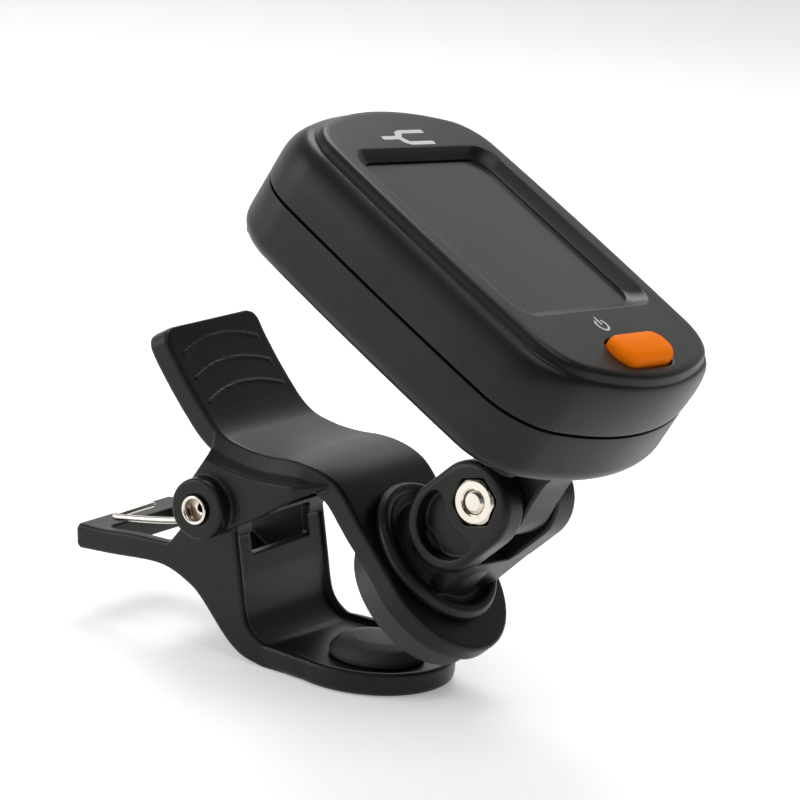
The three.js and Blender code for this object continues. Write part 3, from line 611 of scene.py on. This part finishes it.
def upper_lines():
    """The upper jaw's top and underside from thumb plate to disc, in the clip frame."""
    top = spline(TOP_LINE + [from_jaw(u, DISC_TOP) for u in (13.6, 17.0, DISC_U)], 0.4)
    tangent = np.gradient(top, axis=0)
    normal = np.stack([-tangent[:, 1], tangent[:, 0]], 1)
    normal /= np.linalg.norm(normal, axis=1)[:, None]
    share = np.linspace(0, 1, len(top))
    thick = np.interp(share, [0, 0.45, 0.6, 0.8, 1], [3.15, 2.9, 3.2, 3.0, 2.8])
    return top, top - normal * thick[:, None]


def cheek(side):
    """One cheek's upper part: a hollow slope from the strip's edge out to its flat lower part."""
    top, bottom = upper_lines()
    s = Shell()
    rings = []
    for x in np.linspace(-0.9, 16.9, 60):
        start = np.interp(x, top[:, 0], top[:, 1]) - 0.62
        flare = (CHEEK_OUT - STRIP_SIDE) * min(1.0, (16.95 - x) / 4.2) ** 0.7
        crease = np.interp(x, [-1, 1.9, 4.6, 7.3, 10.8, 14.3, 16.9], [6.0, 5.5, 5.15, 5.0, 5.3, 5.6, 6.25])
        low = max(np.interp(x, [2.7, 7.8, 12.7, 16.9], [-3.0, 0.1, 3.6, 6.0]), crease - 2.0)
        fall = start - crease
        inner = max(np.interp(x, bottom[:, 0], bottom[:, 1]) + 0.5, low + 0.05)
        points = [(9.4, start - 0.28), (STRIP_SIDE, start), (STRIP_SIDE + 0.28 * flare, start - 0.55 * fall),
                  (STRIP_SIDE + 0.66 * flare, crease + 0.16 * fall), (STRIP_SIDE + flare, crease),
                  (STRIP_SIDE + flare, low), (CHEEK_IN, low), (CHEEK_IN, inner), (9.4, inner)]
        rings.append(s.ring([(x, side * w, z) for w, z in points]))
    s.chain(rings)
    s.fill(rings[0])
    s.fill(rings[-1])
    return s


def upper_jaw():
    """The bent strip, its round end, a cheek and a boss on each side, and the ridges."""
    top, bottom = upper_lines()
    run = length_along(top)
    widening = 11.0
    grow = np.clip((run - run[-1] + widening) / widening, 0, 1) ** 1.5
    bar = strip(top, bottom, HALF + (DISC_R - HALF) * grow, 0.55, ends=(2.0, 0))
    disc = turned(round_profile([(0, DISC_LOW), (DISC_R, DISC_LOW, 0.4), (DISC_R, DISC_TOP, 0.5),
                                 (0, DISC_TOP)]), n=96, centre=(DISC_U, 0))
    adds, cuts = [in_clip(disc)], []
    for side in (-1, 1):
        lo, hi = sorted((side * CHEEK_IN, side * CHEEK_OUT))
        slope = [(7.8, 0.1), (12.3, 3.35), (12.3, 4.6), (6.8, 4.6), (1.9, 5.1), (-0.9, 6.1)]
        outline = np.concatenate([arc(0, 0, BOSS_R - 0.05, 140, 318, 26), slope])
        adds.append(plate(outline, lo, hi, 0.25, plane=SIDE, steps=2))
        adds.append(cheek(side))
        face = side * BOSS_OUT
        root = side * (CHEEK_IN + 0.2)
        adds.append(turned(round_profile([(0, root), (BOSS_R, root), (BOSS_R, face, 0.55), (0, face)]), n=64,
                           axis="y"))
        cuts.append(rod(1.95, side * (BOSS_OUT - 0.55), side * 16, 48))
    cuts.append(rod(1.5, -THROUGH, THROUGH))
    cuts.append(in_clip(rod(1.9, 10, 20, axis="z", centre=(SWIVEL_U, 0))))
    return moulded(combine("upper_jaw_moulding", bar, adds + ridges(), cuts), 0.17)


def ridges():
    """Three thin arched ribs across the thumb plate, bowed towards its end."""
    top, _ = upper_lines()
    run = length_along(top)
    first, pitch, bow, reach = 2.3, 3.55, 1.5, 8.1
    made = []
    for k in range(3):
        points = []
        for y in np.linspace(-reach, reach, 31):
            u = first + pitch * k + bow * (y / reach) ** 2
            points.append([np.interp(u, run, top[:, 0]), y, np.interp(u, run, top[:, 1])])
        made.append(tube(points, 0.17, 8))
    return made


def upper_pad():
    """A round pad under the disc, with a way for the swivel's screw."""
    high, low = DISC_LOW - 0.3, DISC_LOW - 3.4
    pad = turned(round_profile([(0, low), (10.0, low, 0.8), (10.0, high, 0.3), (0, high)]), n=96)
    screw_way = rod(4.2, low - 1, high + 1, 64, "z", (SWIVEL_U - DISC_U, 0))
    return combine("upper_pad_rubber", pad, cuts=[screw_way])


# ---------------------------------------------------------------- rivet and spring


def rivet():
    """A hollow rivet: at each end its tube is flared and rolled over."""
    end = [(1.4, 14.4), (1.66, 14.55), (1.84, 14.8), (1.85, 15.0), (1.72, 15.12), (1.54, 15.1), (1.4, 14.9),
           (1.34, 14.5), (1.3, 13.0), (0.9, 13.0), (0.86, 13.4), (0.6, 13.3), (0.55, 12.4)]
    other_end = [(r, -h) for r, h in end[::-1]]
    return turned([(1.4, 0)] + end + other_end, n=56, axis="y")


def spring():
    """Coil round the rivet, one leg along the thumb frame with a turned-in tail, one leg up."""
    wire_r, coil_r, half, mid = 0.46, 2.0, 2.875, -3.6
    near, far = mid - half, mid + half
    start, sweep = math.radians(262), 2 * math.pi * 5 - math.radians(55)
    low_leg = [(-18.1, mid + 4.6, -6.5), (-18.3, mid + 1.5, -6.6), (-18.6, near + 1.1, -6.8),
               (-18.75, near + 0.45, -6.85), (-18.3, near, -6.8), (-17.2, near, -6.65), (-9.2, near, -5.15),
               (-4.0, near, -3.3)]
    coil = [(coil_r * math.cos(start + sweep * q), near + 2 * half * q, coil_r * math.sin(start + sweep * q))
            for q in np.linspace(0.004, 1, 150)]
    high_leg = [(-2.4, far, 2.6), (-2.9, far, 3.7), (-3.6, far, 4.9)]
    return tube(spline(low_leg, 0.35)[:-1].tolist() + spline(coil + high_leg, 0.3).tolist(), wire_r)


# ---------------------------------------------------------------- fork


def stadium(r, low, high, n=28):
    """A slot's outline: a half circle above and one below."""
    return np.concatenate([arc(0, high, r, 0, 180, n), arc(0, low, r, 180, 360, n)])


def crescent():
    """A half moon under the bolt, its upper side bitten round the nut's seat."""
    centre, r = BOLT_H - 5.15, 4.55
    outer = arc(0, centre, r, 180 - 15, 360 + 15, 34)
    inner = spline([(3.9, -3.6), (3.0, -3.75), (1.6, -4.45), (0, -4.8), (-1.6, -4.45), (-3.0, -3.75),
                    (-3.9, -3.6)])
    loop = np.concatenate([outer, inner + (0, BOLT_H)])
    for _ in range(4):
        loop = (np.roll(loop, 1, 0) + 2 * loop + np.roll(loop, -1, 0)) / 4
    return loop


def hexagon(flats, r):
    """A hexagon round the bolt, flats wide across its flats."""
    k = flats / math.sqrt(3)
    corners = [math.radians(60 * i) for i in range(6)]
    return fillet([(k * math.cos(a), BOLT_H + k * math.sin(a)) for a in corners], r, 3)


def fork():
    """A dished flange, a foot with a web, and two ears with their pockets."""
    dish = [(0, 0.3), (9.75, 0.3, 0.2), (9.95, 1.1, 0.45), (9.35, 2.0, 0.6), (8.5, 1.9, 0.5), (7.7, 1.0, 0.6),
            (0, 1.0)]
    flange = turned(round_profile(dish, 6), n=96)
    foot = turned(round_profile([(0, 0.5), (7.0, 0.5), (6.5, 1.9, 0.8), (5.9, 5.6, 1.3), (0, 5.6)]), n=72)
    web = plate([(-3.5, 1.0), (5.9, 1.0), (5.65, 8.6), (-3.5, 8.6)], -5.2, 8.1, 0.6, plane=SIDE)
    adds, cuts = [foot, web], []
    for side in (-1, 1):
        lo, hi = (FORK_IN, FORK_OUT + 0.9) if side > 0 else (-FORK_OUT, -FORK_IN)
        outside = "hi" if side > 0 else "lo"
        rounds = (0.35, 1.0) if side > 0 else (1.0, 0.35)
        seat = hexagon(5.8, 0.5) if side < 0 else circle(3.1, 0, BOLT_H)
        holes = [(crescent(), outside, 2.1, 0.25), (seat, outside, 2.0, 0.12)]
        adds.append(plate(stadium(EAR_R, BOLT_H - 5.9, BOLT_H - 1.1), lo, hi, rounds, holes, SIDE, 6))
    cuts.append(plate(rect(-9, 9, 7.4, 24, 0.6), -FORK_IN, FORK_IN, 0.05, plane=SIDE))
    cuts.append(rod(5.6, -FORK_IN, FORK_IN, 64, centre=(0, BOLT_H)))
    cuts.append(rod(1.6, -9, 9, centre=(0, BOLT_H)))
    cuts.append(rod(1.55, -2, 6, axis="z"))
    return moulded(combine("fork_moulding", flange, adds, cuts), 0.14)


def hex_nut():
    """A hexagon with its outer corners turned off, and a countersunk bore."""
    out, back = -FORK_OUT - 0.25, -FORK_OUT + 1.8
    body = plate(hexagon(5.5, 0.1), out, back, 0.06, plane=SIDE, steps=2)
    chamfer = turned([(0, out), (2.6, out), (2.92, out + 0.3), (3.02, out + 0.7), (3.02, back - 0.3),
                      (2.8, back), (0, back)], n=64, axis="y", centre=(0, BOLT_H))
    bore = turned([(0, out - 1), (1.76, out - 1), (1.76, out), (1.58, out + 0.2), (1.58, back + 1),
                   (0, back + 1)], n=48, axis="y", centre=(0, BOLT_H))
    return combine("m3_nut", body, cuts=[bore], common=[chamfer])


def cross(x, y, arm, half, lo, hi, plane=FLAT, r=0.1, n=8, steps=4):
    """Cutters for a cross recess: two slots of that arm and half width."""
    return [plate(rect(x - a, x + a, y - b, y + b, r, n), lo, hi, 0.02, plane=plane, steps=steps)
            for a, b in ((arm, half), (half, arm))]


def bolt():
    """The tilt bolt: a few turns of thread show in the nut, and the head has a cross recess."""
    tip, seat = -FORK_OUT - 0.3, FORK_OUT - 0.9
    shank, root, pitch, top = 1.45, 1.3, 0.35, seat + 1.9
    profile = [(0, tip), (1.05, tip, 0.1), (shank, tip + pitch)]
    for k in range(1, 9):
        profile += [(shank, tip + pitch * k + 0.1), (root, tip + pitch * k + 0.2)]
    profile += [(shank, tip + 3.3), (shank, seat), (2.75, seat), (2.75, seat + 1.2, 0.5), (1.9, top, 0.6),
                (0, top)]
    body = turned(round_profile(profile, 4), n=56, axis="y", centre=(0, BOLT_H))
    return combine("tilt_bolt_m3", body, cuts=cross(0, BOLT_H, 1.7, 0.3, seat + 0.9, seat + 3, SIDE))


def swivel_screw():
    top = DISC_LOW - DISC_TOP - 1.0
    body = turned(round_profile([(0, top - 1.5), (2.3, top - 1.5, 0.4), (2.7, top - 0.9, 0.3), (2.7, top),
                                 (1.25, top), (1.25, 5.2), (0, 5.8)]), n=48)
    return combine("pan_head_screw", body, cuts=cross(0, 0, 1.7, 0.3, top - 2.5, top - 0.7))


# ---------------------------------------------------------------- head

HEAD_LEN, HEAD_WID, HEAD_X = 56.6, 40.6, -18.9
HEAD_CORNER, END_R, SIDE_R = 9.0, 42, 420
WINDOW_X = -20.4
LENS_Z = FACE - 1.4  # where the window's sloped rim meets the lens
BUTTON_X, BUTTON_L, BUTTON_W, BUTTON_R = 4.0, 5.0, 11.0, 2.3
CELL_X, DOOR_L, DOOR_W = -28.5, 24.0, 21.6
SCREWS = [(-41.1, -14.1), (-41.1, 14.1), (3.3, -14.1), (3.3, 14.1)]


def head_outline(d, end=0.0):
    """The head's plan: four large arcs joined by corner arcs, all moved in by d. end moves the
    button's end in by that much more, or out when it is negative."""
    r, er, sr = HEAD_CORNER - d, END_R - d, SIDE_R - d
    hl, hw = HEAD_LEN / 2 - d, HEAD_WID / 2 - d
    cx, cy = hl - r, hw - r
    for _ in range(14):
        cx = hl - er + math.sqrt((er - r) ** 2 - cy ** 2)
        cy = hw - sr + math.sqrt((sr - r) ** 2 - cx ** 2)
    te = math.degrees(math.asin(cy / (er - r)))
    ts = math.degrees(math.asin(cx / (sr - r)))
    parts = []
    for k, (sx, sy) in enumerate(((1, 1), (-1, 1), (-1, -1), (1, -1))):
        base = 90 * k
        first, last = (te, 90 - ts) if k % 2 == 0 else (ts, 90 - te)
        corner_arc = arc(sx * cx, sy * cy, r, base + first, base + last, 18)
        if k % 2 == 0:
            side = arc(0, sy * (hw - sr), sr, base + 90 - ts, base + 90 + ts, 10)
        else:
            side = arc(sx * (hl - er), 0, er, base + 90 - te, base + 90 + te, 22)
        parts += [corner_arc, side[1:-1]]
    loop = np.concatenate(parts)
    loop[:, 0] += HEAD_X
    if end:
        share = np.clip((loop[:, 0] - HEAD_X) / (HEAD_LEN / 2), 0, 1) ** 3
        loop[:, 0] -= end * share
    return loop


def ring_at(s, d, z, end=0.0):
    return s.ring(put(head_outline(d, end), z, FLAT))


def about(x, length, width, r, n=8, grow=0.0):
    """A rounded rectangle about a point of the head's middle line, grown on every side."""
    a, b = length / 2 + grow, width / 2 + grow
    return rect(x - a, x + a, -b, b, r, n)


def edged_hole(s, loop, z, down, r):
    """A hole's wall in a face at height z, with a rounded edge: the rings of that edge. down is -1
    for the face and 1 for the rear."""
    return [s.ring(put(inset(loop, -i), z + down * d, FLAT)) for i, d in rounding(r, 3)]


def front_shell():
    """Walls from the parting line over the shoulder to the raised face. Each is (inset, height,
    shift of the button's end)."""
    s = Shell()
    shoulder = FACE - 1.2
    walls = [(1.5, PART + 0.15, 0), (0.22, PART + 0.15, 0), (0.06, PART + 0.22, 0), (0.0, PART + 0.42, 0),
             (0.0, PART + 1.4, -0.12)]
    for a in np.linspace(0, 1, 10):
        t = a * math.radians(80)
        d = 2.45 * (1 - math.cos(t))
        walls.append((d, shoulder - 4.5 + 4.4 * math.sin(t), -0.22 - 0.05 * a - d * 0.93))
    walls += [(2.2, shoulder - 0.16, -2.32), (2.4, shoulder - 0.06, -2.5), (2.52, shoulder + 0.16, -2.58),
              (2.68, FACE - 0.5, -2.6), (2.86, FACE - 0.24, -2.62), (3.1, FACE - 0.07, -2.62),
              (3.45, FACE, -2.64), (3.9, FACE, -2.9)]
    rings = [ring_at(s, *w) for w in walls]
    s.chain(rings)
    under = FACE - 2.6
    rim = []
    for grow, z in ((0.28, FACE), (0.1, FACE - 0.05), (0.0, FACE - 0.2), (-0.55, LENS_Z + 0.42),
                    (-1.0, LENS_Z + 0.1), (-1.0, LENS_Z - 0.2), (-1.0, under)):
        far, near = WINDOW_X - 16.05 - grow, WINDOW_X + 16.05 + grow * 1.6
        wide = 14.55 + grow * 1.6
        grown = rect(far, near, -wide, wide, 3.3 + grow * 0.5, 12)
        rim.append(s.ring(put(grown, z, FLAT)))
    s.chain(rim)
    hole = about(BUTTON_X, BUTTON_L, BUTTON_W, BUTTON_R + 0.3, 12, 0.3)
    mouth = edged_hole(s, hole, FACE, -1, 0.25) + [s.ring(put(hole, under, FLAT))]
    s.chain(mouth)
    s.fill(rings[-1], rim[0], mouth[0])
    inner = [ring_at(s, 1.5, FACE - 4.2), ring_at(s, 2.2, FACE - 3.0), ring_at(s, 3.2, under)]
    s.chain([rings[0]] + inner)
    s.fill(inner[-1], rim[-1], mouth[-1])
    return thing("front_shell_moulding", s)


def rear_shell():
    """The rear with its screw wells and battery bay, and the neck with the knuckle in the fork."""
    s = Shell()
    rings = []
    for a in np.linspace(0, 1, 8):
        t = a * math.pi / 2
        rings.append(ring_at(s, 2.6 * (1 - math.sin(t)), REAR + 2.75 * (1 - math.cos(t))))
    walls = [(0, PART - 2), (0, PART - 0.42), (0.06, PART - 0.22), (0.22, PART - 0.15), (0.75, PART - 0.15),
             (0.78, PART + 0.1), (1.8, PART + 0.1), (1.85, PART + 0.95), (2.7, PART + 0.95),
             (2.7, REAR + 3.6), (3.3, REAR + 2.2), (4.4, REAR + 1.5)]
    rings += [ring_at(s, *w) for w in walls]
    s.chain(rings)
    depth = 1.45
    holes = []
    for x, y in SCREWS:
        well = circle(2.1, x, y, 40)
        wall = edged_hole(s, well, REAR, 1, 0.2) + [s.ring(put(well, REAR + depth, FLAT))]
        s.chain(wall)
        s.fill(wall[-1])
        holes.append(wall[0])
    door_way = about(CELL_X, DOOR_L, DOOR_W, 0.9, 6, 0.3)
    wall = edged_hole(s, door_way, REAR, 1, 0.2) + [s.ring(put(door_way, REAR + depth, FLAT))]
    s.chain(wall)
    holes.append(wall[0])
    cell = circle(10.6, CELL_X, 0, 72)
    cell_edge = [s.ring(put(cell, z, FLAT)) for z in (REAR + depth, REAR + depth + 0.05)]
    s.chain(cell_edge)
    s.fill(wall[-1], cell_edge[0])
    s.fill(rings[0], *holes)
    s.fill(rings[-1], cell_edge[1])
    bore = (circle(1.75), "through", 0, 0.2)
    knuckle = plate(neck_outline(), -FORK_IN + 0.35, FORK_IN - 0.35, 0.45, [bore], SIDE)
    root = plate(rect(-6.6, 6.6, -5.9, 5.9, 2.6), REAR - 1.3, REAR + 0.8, (0.9, 0.2))
    return combine("rear_shell_moulding", s, [combined(root, knuckle)], solver="EXACT")


def neck_outline():
    """The neck and its round knuckle, seen from the side."""
    flank = spline([(4.85, 0.6), (4.7, 3), (4.75, 6.0), (5.4, 8.0), (6.4, 9.0)])
    other = flank[::-1] * (-1, 1)
    return np.concatenate([arc(0, 0, 4.9, 180, 360, 40), flank, [(6.4, 10.3), (-6.4, 10.3)], other])


def lens():
    return thing("smoked_window", plate(about(WINDOW_X, 29.5, 26.5, 2.0, 12), LENS_Z - 1.2, LENS_Z, 0.12))


def button():
    """Pill-shaped cap with a round crown, its skirt and its stem below the face."""
    s = Shell()
    base = about(BUTTON_X, BUTTON_L, BUTTON_W, BUTTON_R, 14)
    wall_top, crown, edge, edge_share = FACE + 0.25, 1.45, 1.2, 0.88
    rings = [s.ring(put(base, z, FLAT)) for z in (FACE - 3.2, FACE - 0.6, wall_top)]
    for a in np.linspace(0.12, 1, 9):
        t = a * math.pi / 2
        z = wall_top + crown * edge_share * math.sin(t)
        rings.append(s.ring(put(inset(base, edge * (1 - math.cos(t))), z, FLAT)))
    centre = base.mean(0)
    last = inset(base, edge)
    for k in (0.8, 0.6, 0.4, 0.2):
        z = wall_top + crown * (edge_share + (1 - edge_share) * (1 - k * k))
        rings.append(s.ring(put(centre + (last - centre) * k, z, FLAT)))
    s.chain(rings)
    s.fill(rings[0])
    s.fill(rings[-1])
    skirt = plate(about(BUTTON_X, 6.2, 12.2, 2.6), FACE - 3.6, FACE - 2.9, 0.15)
    stem_end, stem_top = 22.6, FACE - 1
    stem = turned(round_profile([(0, stem_end), (1.6, stem_end, 0.2), (1.6, stem_top), (0, stem_top)]), n=40,
                  centre=(BUTTON_X, 0))
    return combine("orange_cap", s, [skirt, stem])


def glyphs():
    """Two plain printed marks on the face: a tuning fork, and a power symbol by the button."""
    fork_x, half_print = -38.6, 0.03
    left = [(-0.8, -0.4), (-0.8, 4.5), (-1.5, 4.5), (-1.5, -0.6), (-1.1, -1.7), (-0.35, -2.2), (-0.35, -5.4)]
    right = [(-x, y) for x, y in left[::-1]]
    prongs = [(fork_x + x, y) for x, y in left[2:] + right + [(0, -1.3)] + left[:2]]
    power_x, power_y = -1.3, -1.6
    outer = arc(power_x, power_y, 1.15, -142, 142, 28)
    inner = arc(power_x, power_y, 0.82, 142, -142, 28)
    bar = rect(power_x - 1.45, power_x, power_y - 0.16, power_y + 0.16, 0.1, 3)
    shapes = [("tuning_fork_mark", fillet(prongs, 0.3)), ("power_mark_ring", np.concatenate([outer, inner])),
              ("power_mark_bar", bar)]
    return [thing(name, plate(loop, FACE - half_print, FACE + half_print, 0.015, steps=1))
            for name, loop in shapes]


def door():
    """The battery door, with three grip grooves and an arrow in its outer face."""
    openings = [(about(CELL_X + 6.4 + 1.6 * i, 0.8, 12, 0.35, 4), "lo", 0.4, 0.1) for i in range(3)]
    arrow = fillet([(CELL_X - 11.0, 0), (CELL_X - 8.6, 3.2), (CELL_X - 8.6, -3.2)], 0.4)
    openings.append((arrow, "lo", 0.35, 0.08))
    outline = about(CELL_X, DOOR_L, DOOR_W, 0.7, 6)
    return thing("battery_cover", plate(outline, REAR, REAR + 1.3, (0.25, 0.1), openings))


def case_screw(i, x, y):
    head, top = REAR + 0.25, REAR + 1.4
    profile = [(0, head), (1.2, head, 0.4), (1.8, REAR + 0.6, 0.3), (1.8, top), (1.0, top), (1.0, 21.4),
               (0, 22.2)]
    body = turned(round_profile(profile), n=40, centre=(x, y))
    recess = cross(x, y, 1.1, 0.2, REAR - 1, REAR + 0.9, r=0.08, n=3, steps=1)
    return combine(f"self_tapping_screw_{i}", body, cuts=recess)


# ---------------------------------------------------------------- build

LIFT = Matrix.Translation
piece(lower_jaw(), CLIP, "lower_clip", BLACK, ["lower_jaw"])
piece(thing("lower_pad_rubber", lower_pad()), CLIP @ LIFT((LOWER_PAD_X, 0, 0)), "lower_clip",
      RUBBER, ["lower_pad"], 40)
piece(upper_jaw(), CLIP, "upper_clip", BLACK, ["upper_jaw"])
piece(upper_pad(), JAW @ LIFT((DISC_U, 0, 0)), "upper_clip", GREY_RUBBER, ["upper_pad"], 40)
piece(thing("hollow_rivet", rivet()), CLIP, "lower_clip", NICKEL, ["hinge_rivet"], 50)
piece(thing("spring_coil", spring()), CLIP, "lower_clip", WIRE, ["torsion_spring"])
piece(fork(), FORK, "fork", BLACK, ["fork"])
piece(hex_nut(), FORK, "fork", NICKEL, ["hex_nut"], 30)
piece(bolt(), FORK, "fork", NICKEL, ["tilt_bolt"], 30)
piece(swivel_screw(), FORK, "fork", ZINC, ["swivel_screw"], 30)
piece(front_shell(), HEAD, "head", BLACK, ["front_shell"], 38)
piece(rear_shell(), HEAD, "head", BLACK, ["rear_shell"], 38)
piece(lens(), HEAD, "head", LENS, ["display_lens"], 30)
piece(button(), HEAD, "button", ORANGE, ["power_button"], 50)
for mark in glyphs():
    piece(mark, HEAD, "head", PRINT, (), 30)
piece(door(), HEAD, "door", BLACK, ["battery_door"], 30)
for i, (x, y) in enumerate(SCREWS):
    piece(case_screw(i + 1, x, y), HEAD, "head", ZINC, [f"case_screw_{i + 1}"], 30)

# ---------------------------------------------------------------- stage


def floor():
    """A pale round floor in metres, just under the lower jaw."""
    s = Shell()
    rings = [s.ring(put(circle(r, n=24), 0, FLAT)) for r in (1.6, 0.8, 0.4)]
    s.chain(rings)
    s.fill(rings[-1])
    o = thing("studio_floor", s.mesh("studio_floor", closed=False))
    o.location.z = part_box("lower_jaw")[0].z - 0.00002
    pale = surface("pale_floor", (0.95, 0.95, 0.94), 0.7, grain=(40, 0.01), smear=3, tint=0.01)
    shader = next(n for n in pale.node_tree.nodes if n.type == "BSDF_PRINCIPLED")
    shader.inputs["Emission Color"].default_value = (1, 1, 0.99, 1)
    shader.inputs["Emission Strength"].default_value = 0.3
    o.data.materials.append(pale)


def placed(name, data, place, turn):
    """Puts a light or a camera in the scene."""
    o = bpy.data.objects.new(name, data)
    bpy.context.scene.collection.objects.link(o)
    o.location = place
    o.rotation_mode = "QUATERNION"
    o.rotation_quaternion = turn
    return o


def area_light(name, place, size, power):
    data = bpy.data.lights.new(name, "AREA")
    data.shape, data.size, data.size_y, data.energy = "RECTANGLE", size[0], size[1], power
    aim = Vector(place) - Vector((0, 0, 0.035))
    placed(name, data, place, aim.to_track_quat("Z", "Y"))


def studio_world():
    """A soft tent of light: paler on the left, and darker overhead."""
    world = bpy.data.worlds.new("studio")
    bpy.context.scene.world = world
    world.use_nodes = True
    tent = world.node_tree
    ways = node(tent, "ShaderNodeTexCoord")
    split = node(tent, "ShaderNodeSeparateXYZ")
    across = node(tent, "ShaderNodeMapRange", From_Min=-0.35, From_Max=0.55, To_Min=1.08, To_Max=0.24)
    across.interpolation_type = "SMOOTHSTEP"
    upward = node(tent, "ShaderNodeMapRange", From_Min=0.3, From_Max=0.6, To_Min=1.0, To_Max=0.42)
    both = node(tent, "ShaderNodeMath")
    both.operation = "MULTIPLY"
    background = tent.nodes["Background"].inputs
    background["Color"].default_value = (1, 0.995, 0.98, 1)
    for source, target in ((ways.outputs["Generated"], split.inputs[0]),
                           (split.outputs["X"], across.inputs["Value"]),
                           (split.outputs["Z"], upward.inputs["Value"]),
                           (across.outputs["Result"], both.inputs[0]),
                           (upward.outputs["Result"], both.inputs[1]),
                           (both.outputs[0], background["Strength"])):
        tent.links.new(source, target)


def studio_camera():
    data = bpy.data.cameras.new("camera")
    data.lens, data.sensor_width = 148.5, 36
    data.clip_start, data.clip_end = 0.01, 20
    right, up, back = (0.8347, 0.5432, 0.0905), (-0.2066, 0.1566, 0.9658), (0.5104, -0.8249, 0.2429)
    turn = Matrix((right, up, back)).transposed().to_quaternion()
    bpy.context.scene.camera = placed("camera", data, (0.21333, -0.34299, 0.13707), turn)


floor()
studio_world()
area_light("key_above", (-0.16, 0.30, 0.50), (0.30, 0.30), 1.5)
area_light("fill_left", (-0.42, -0.35, 0.25), (0.3, 0.4), 0.9)
area_light("top_right", (0.25, -0.05, 0.6), (0.4, 0.4), 1.2)
studio_camera()
bpy.context.scene.view_settings.view_transform = "Standard"
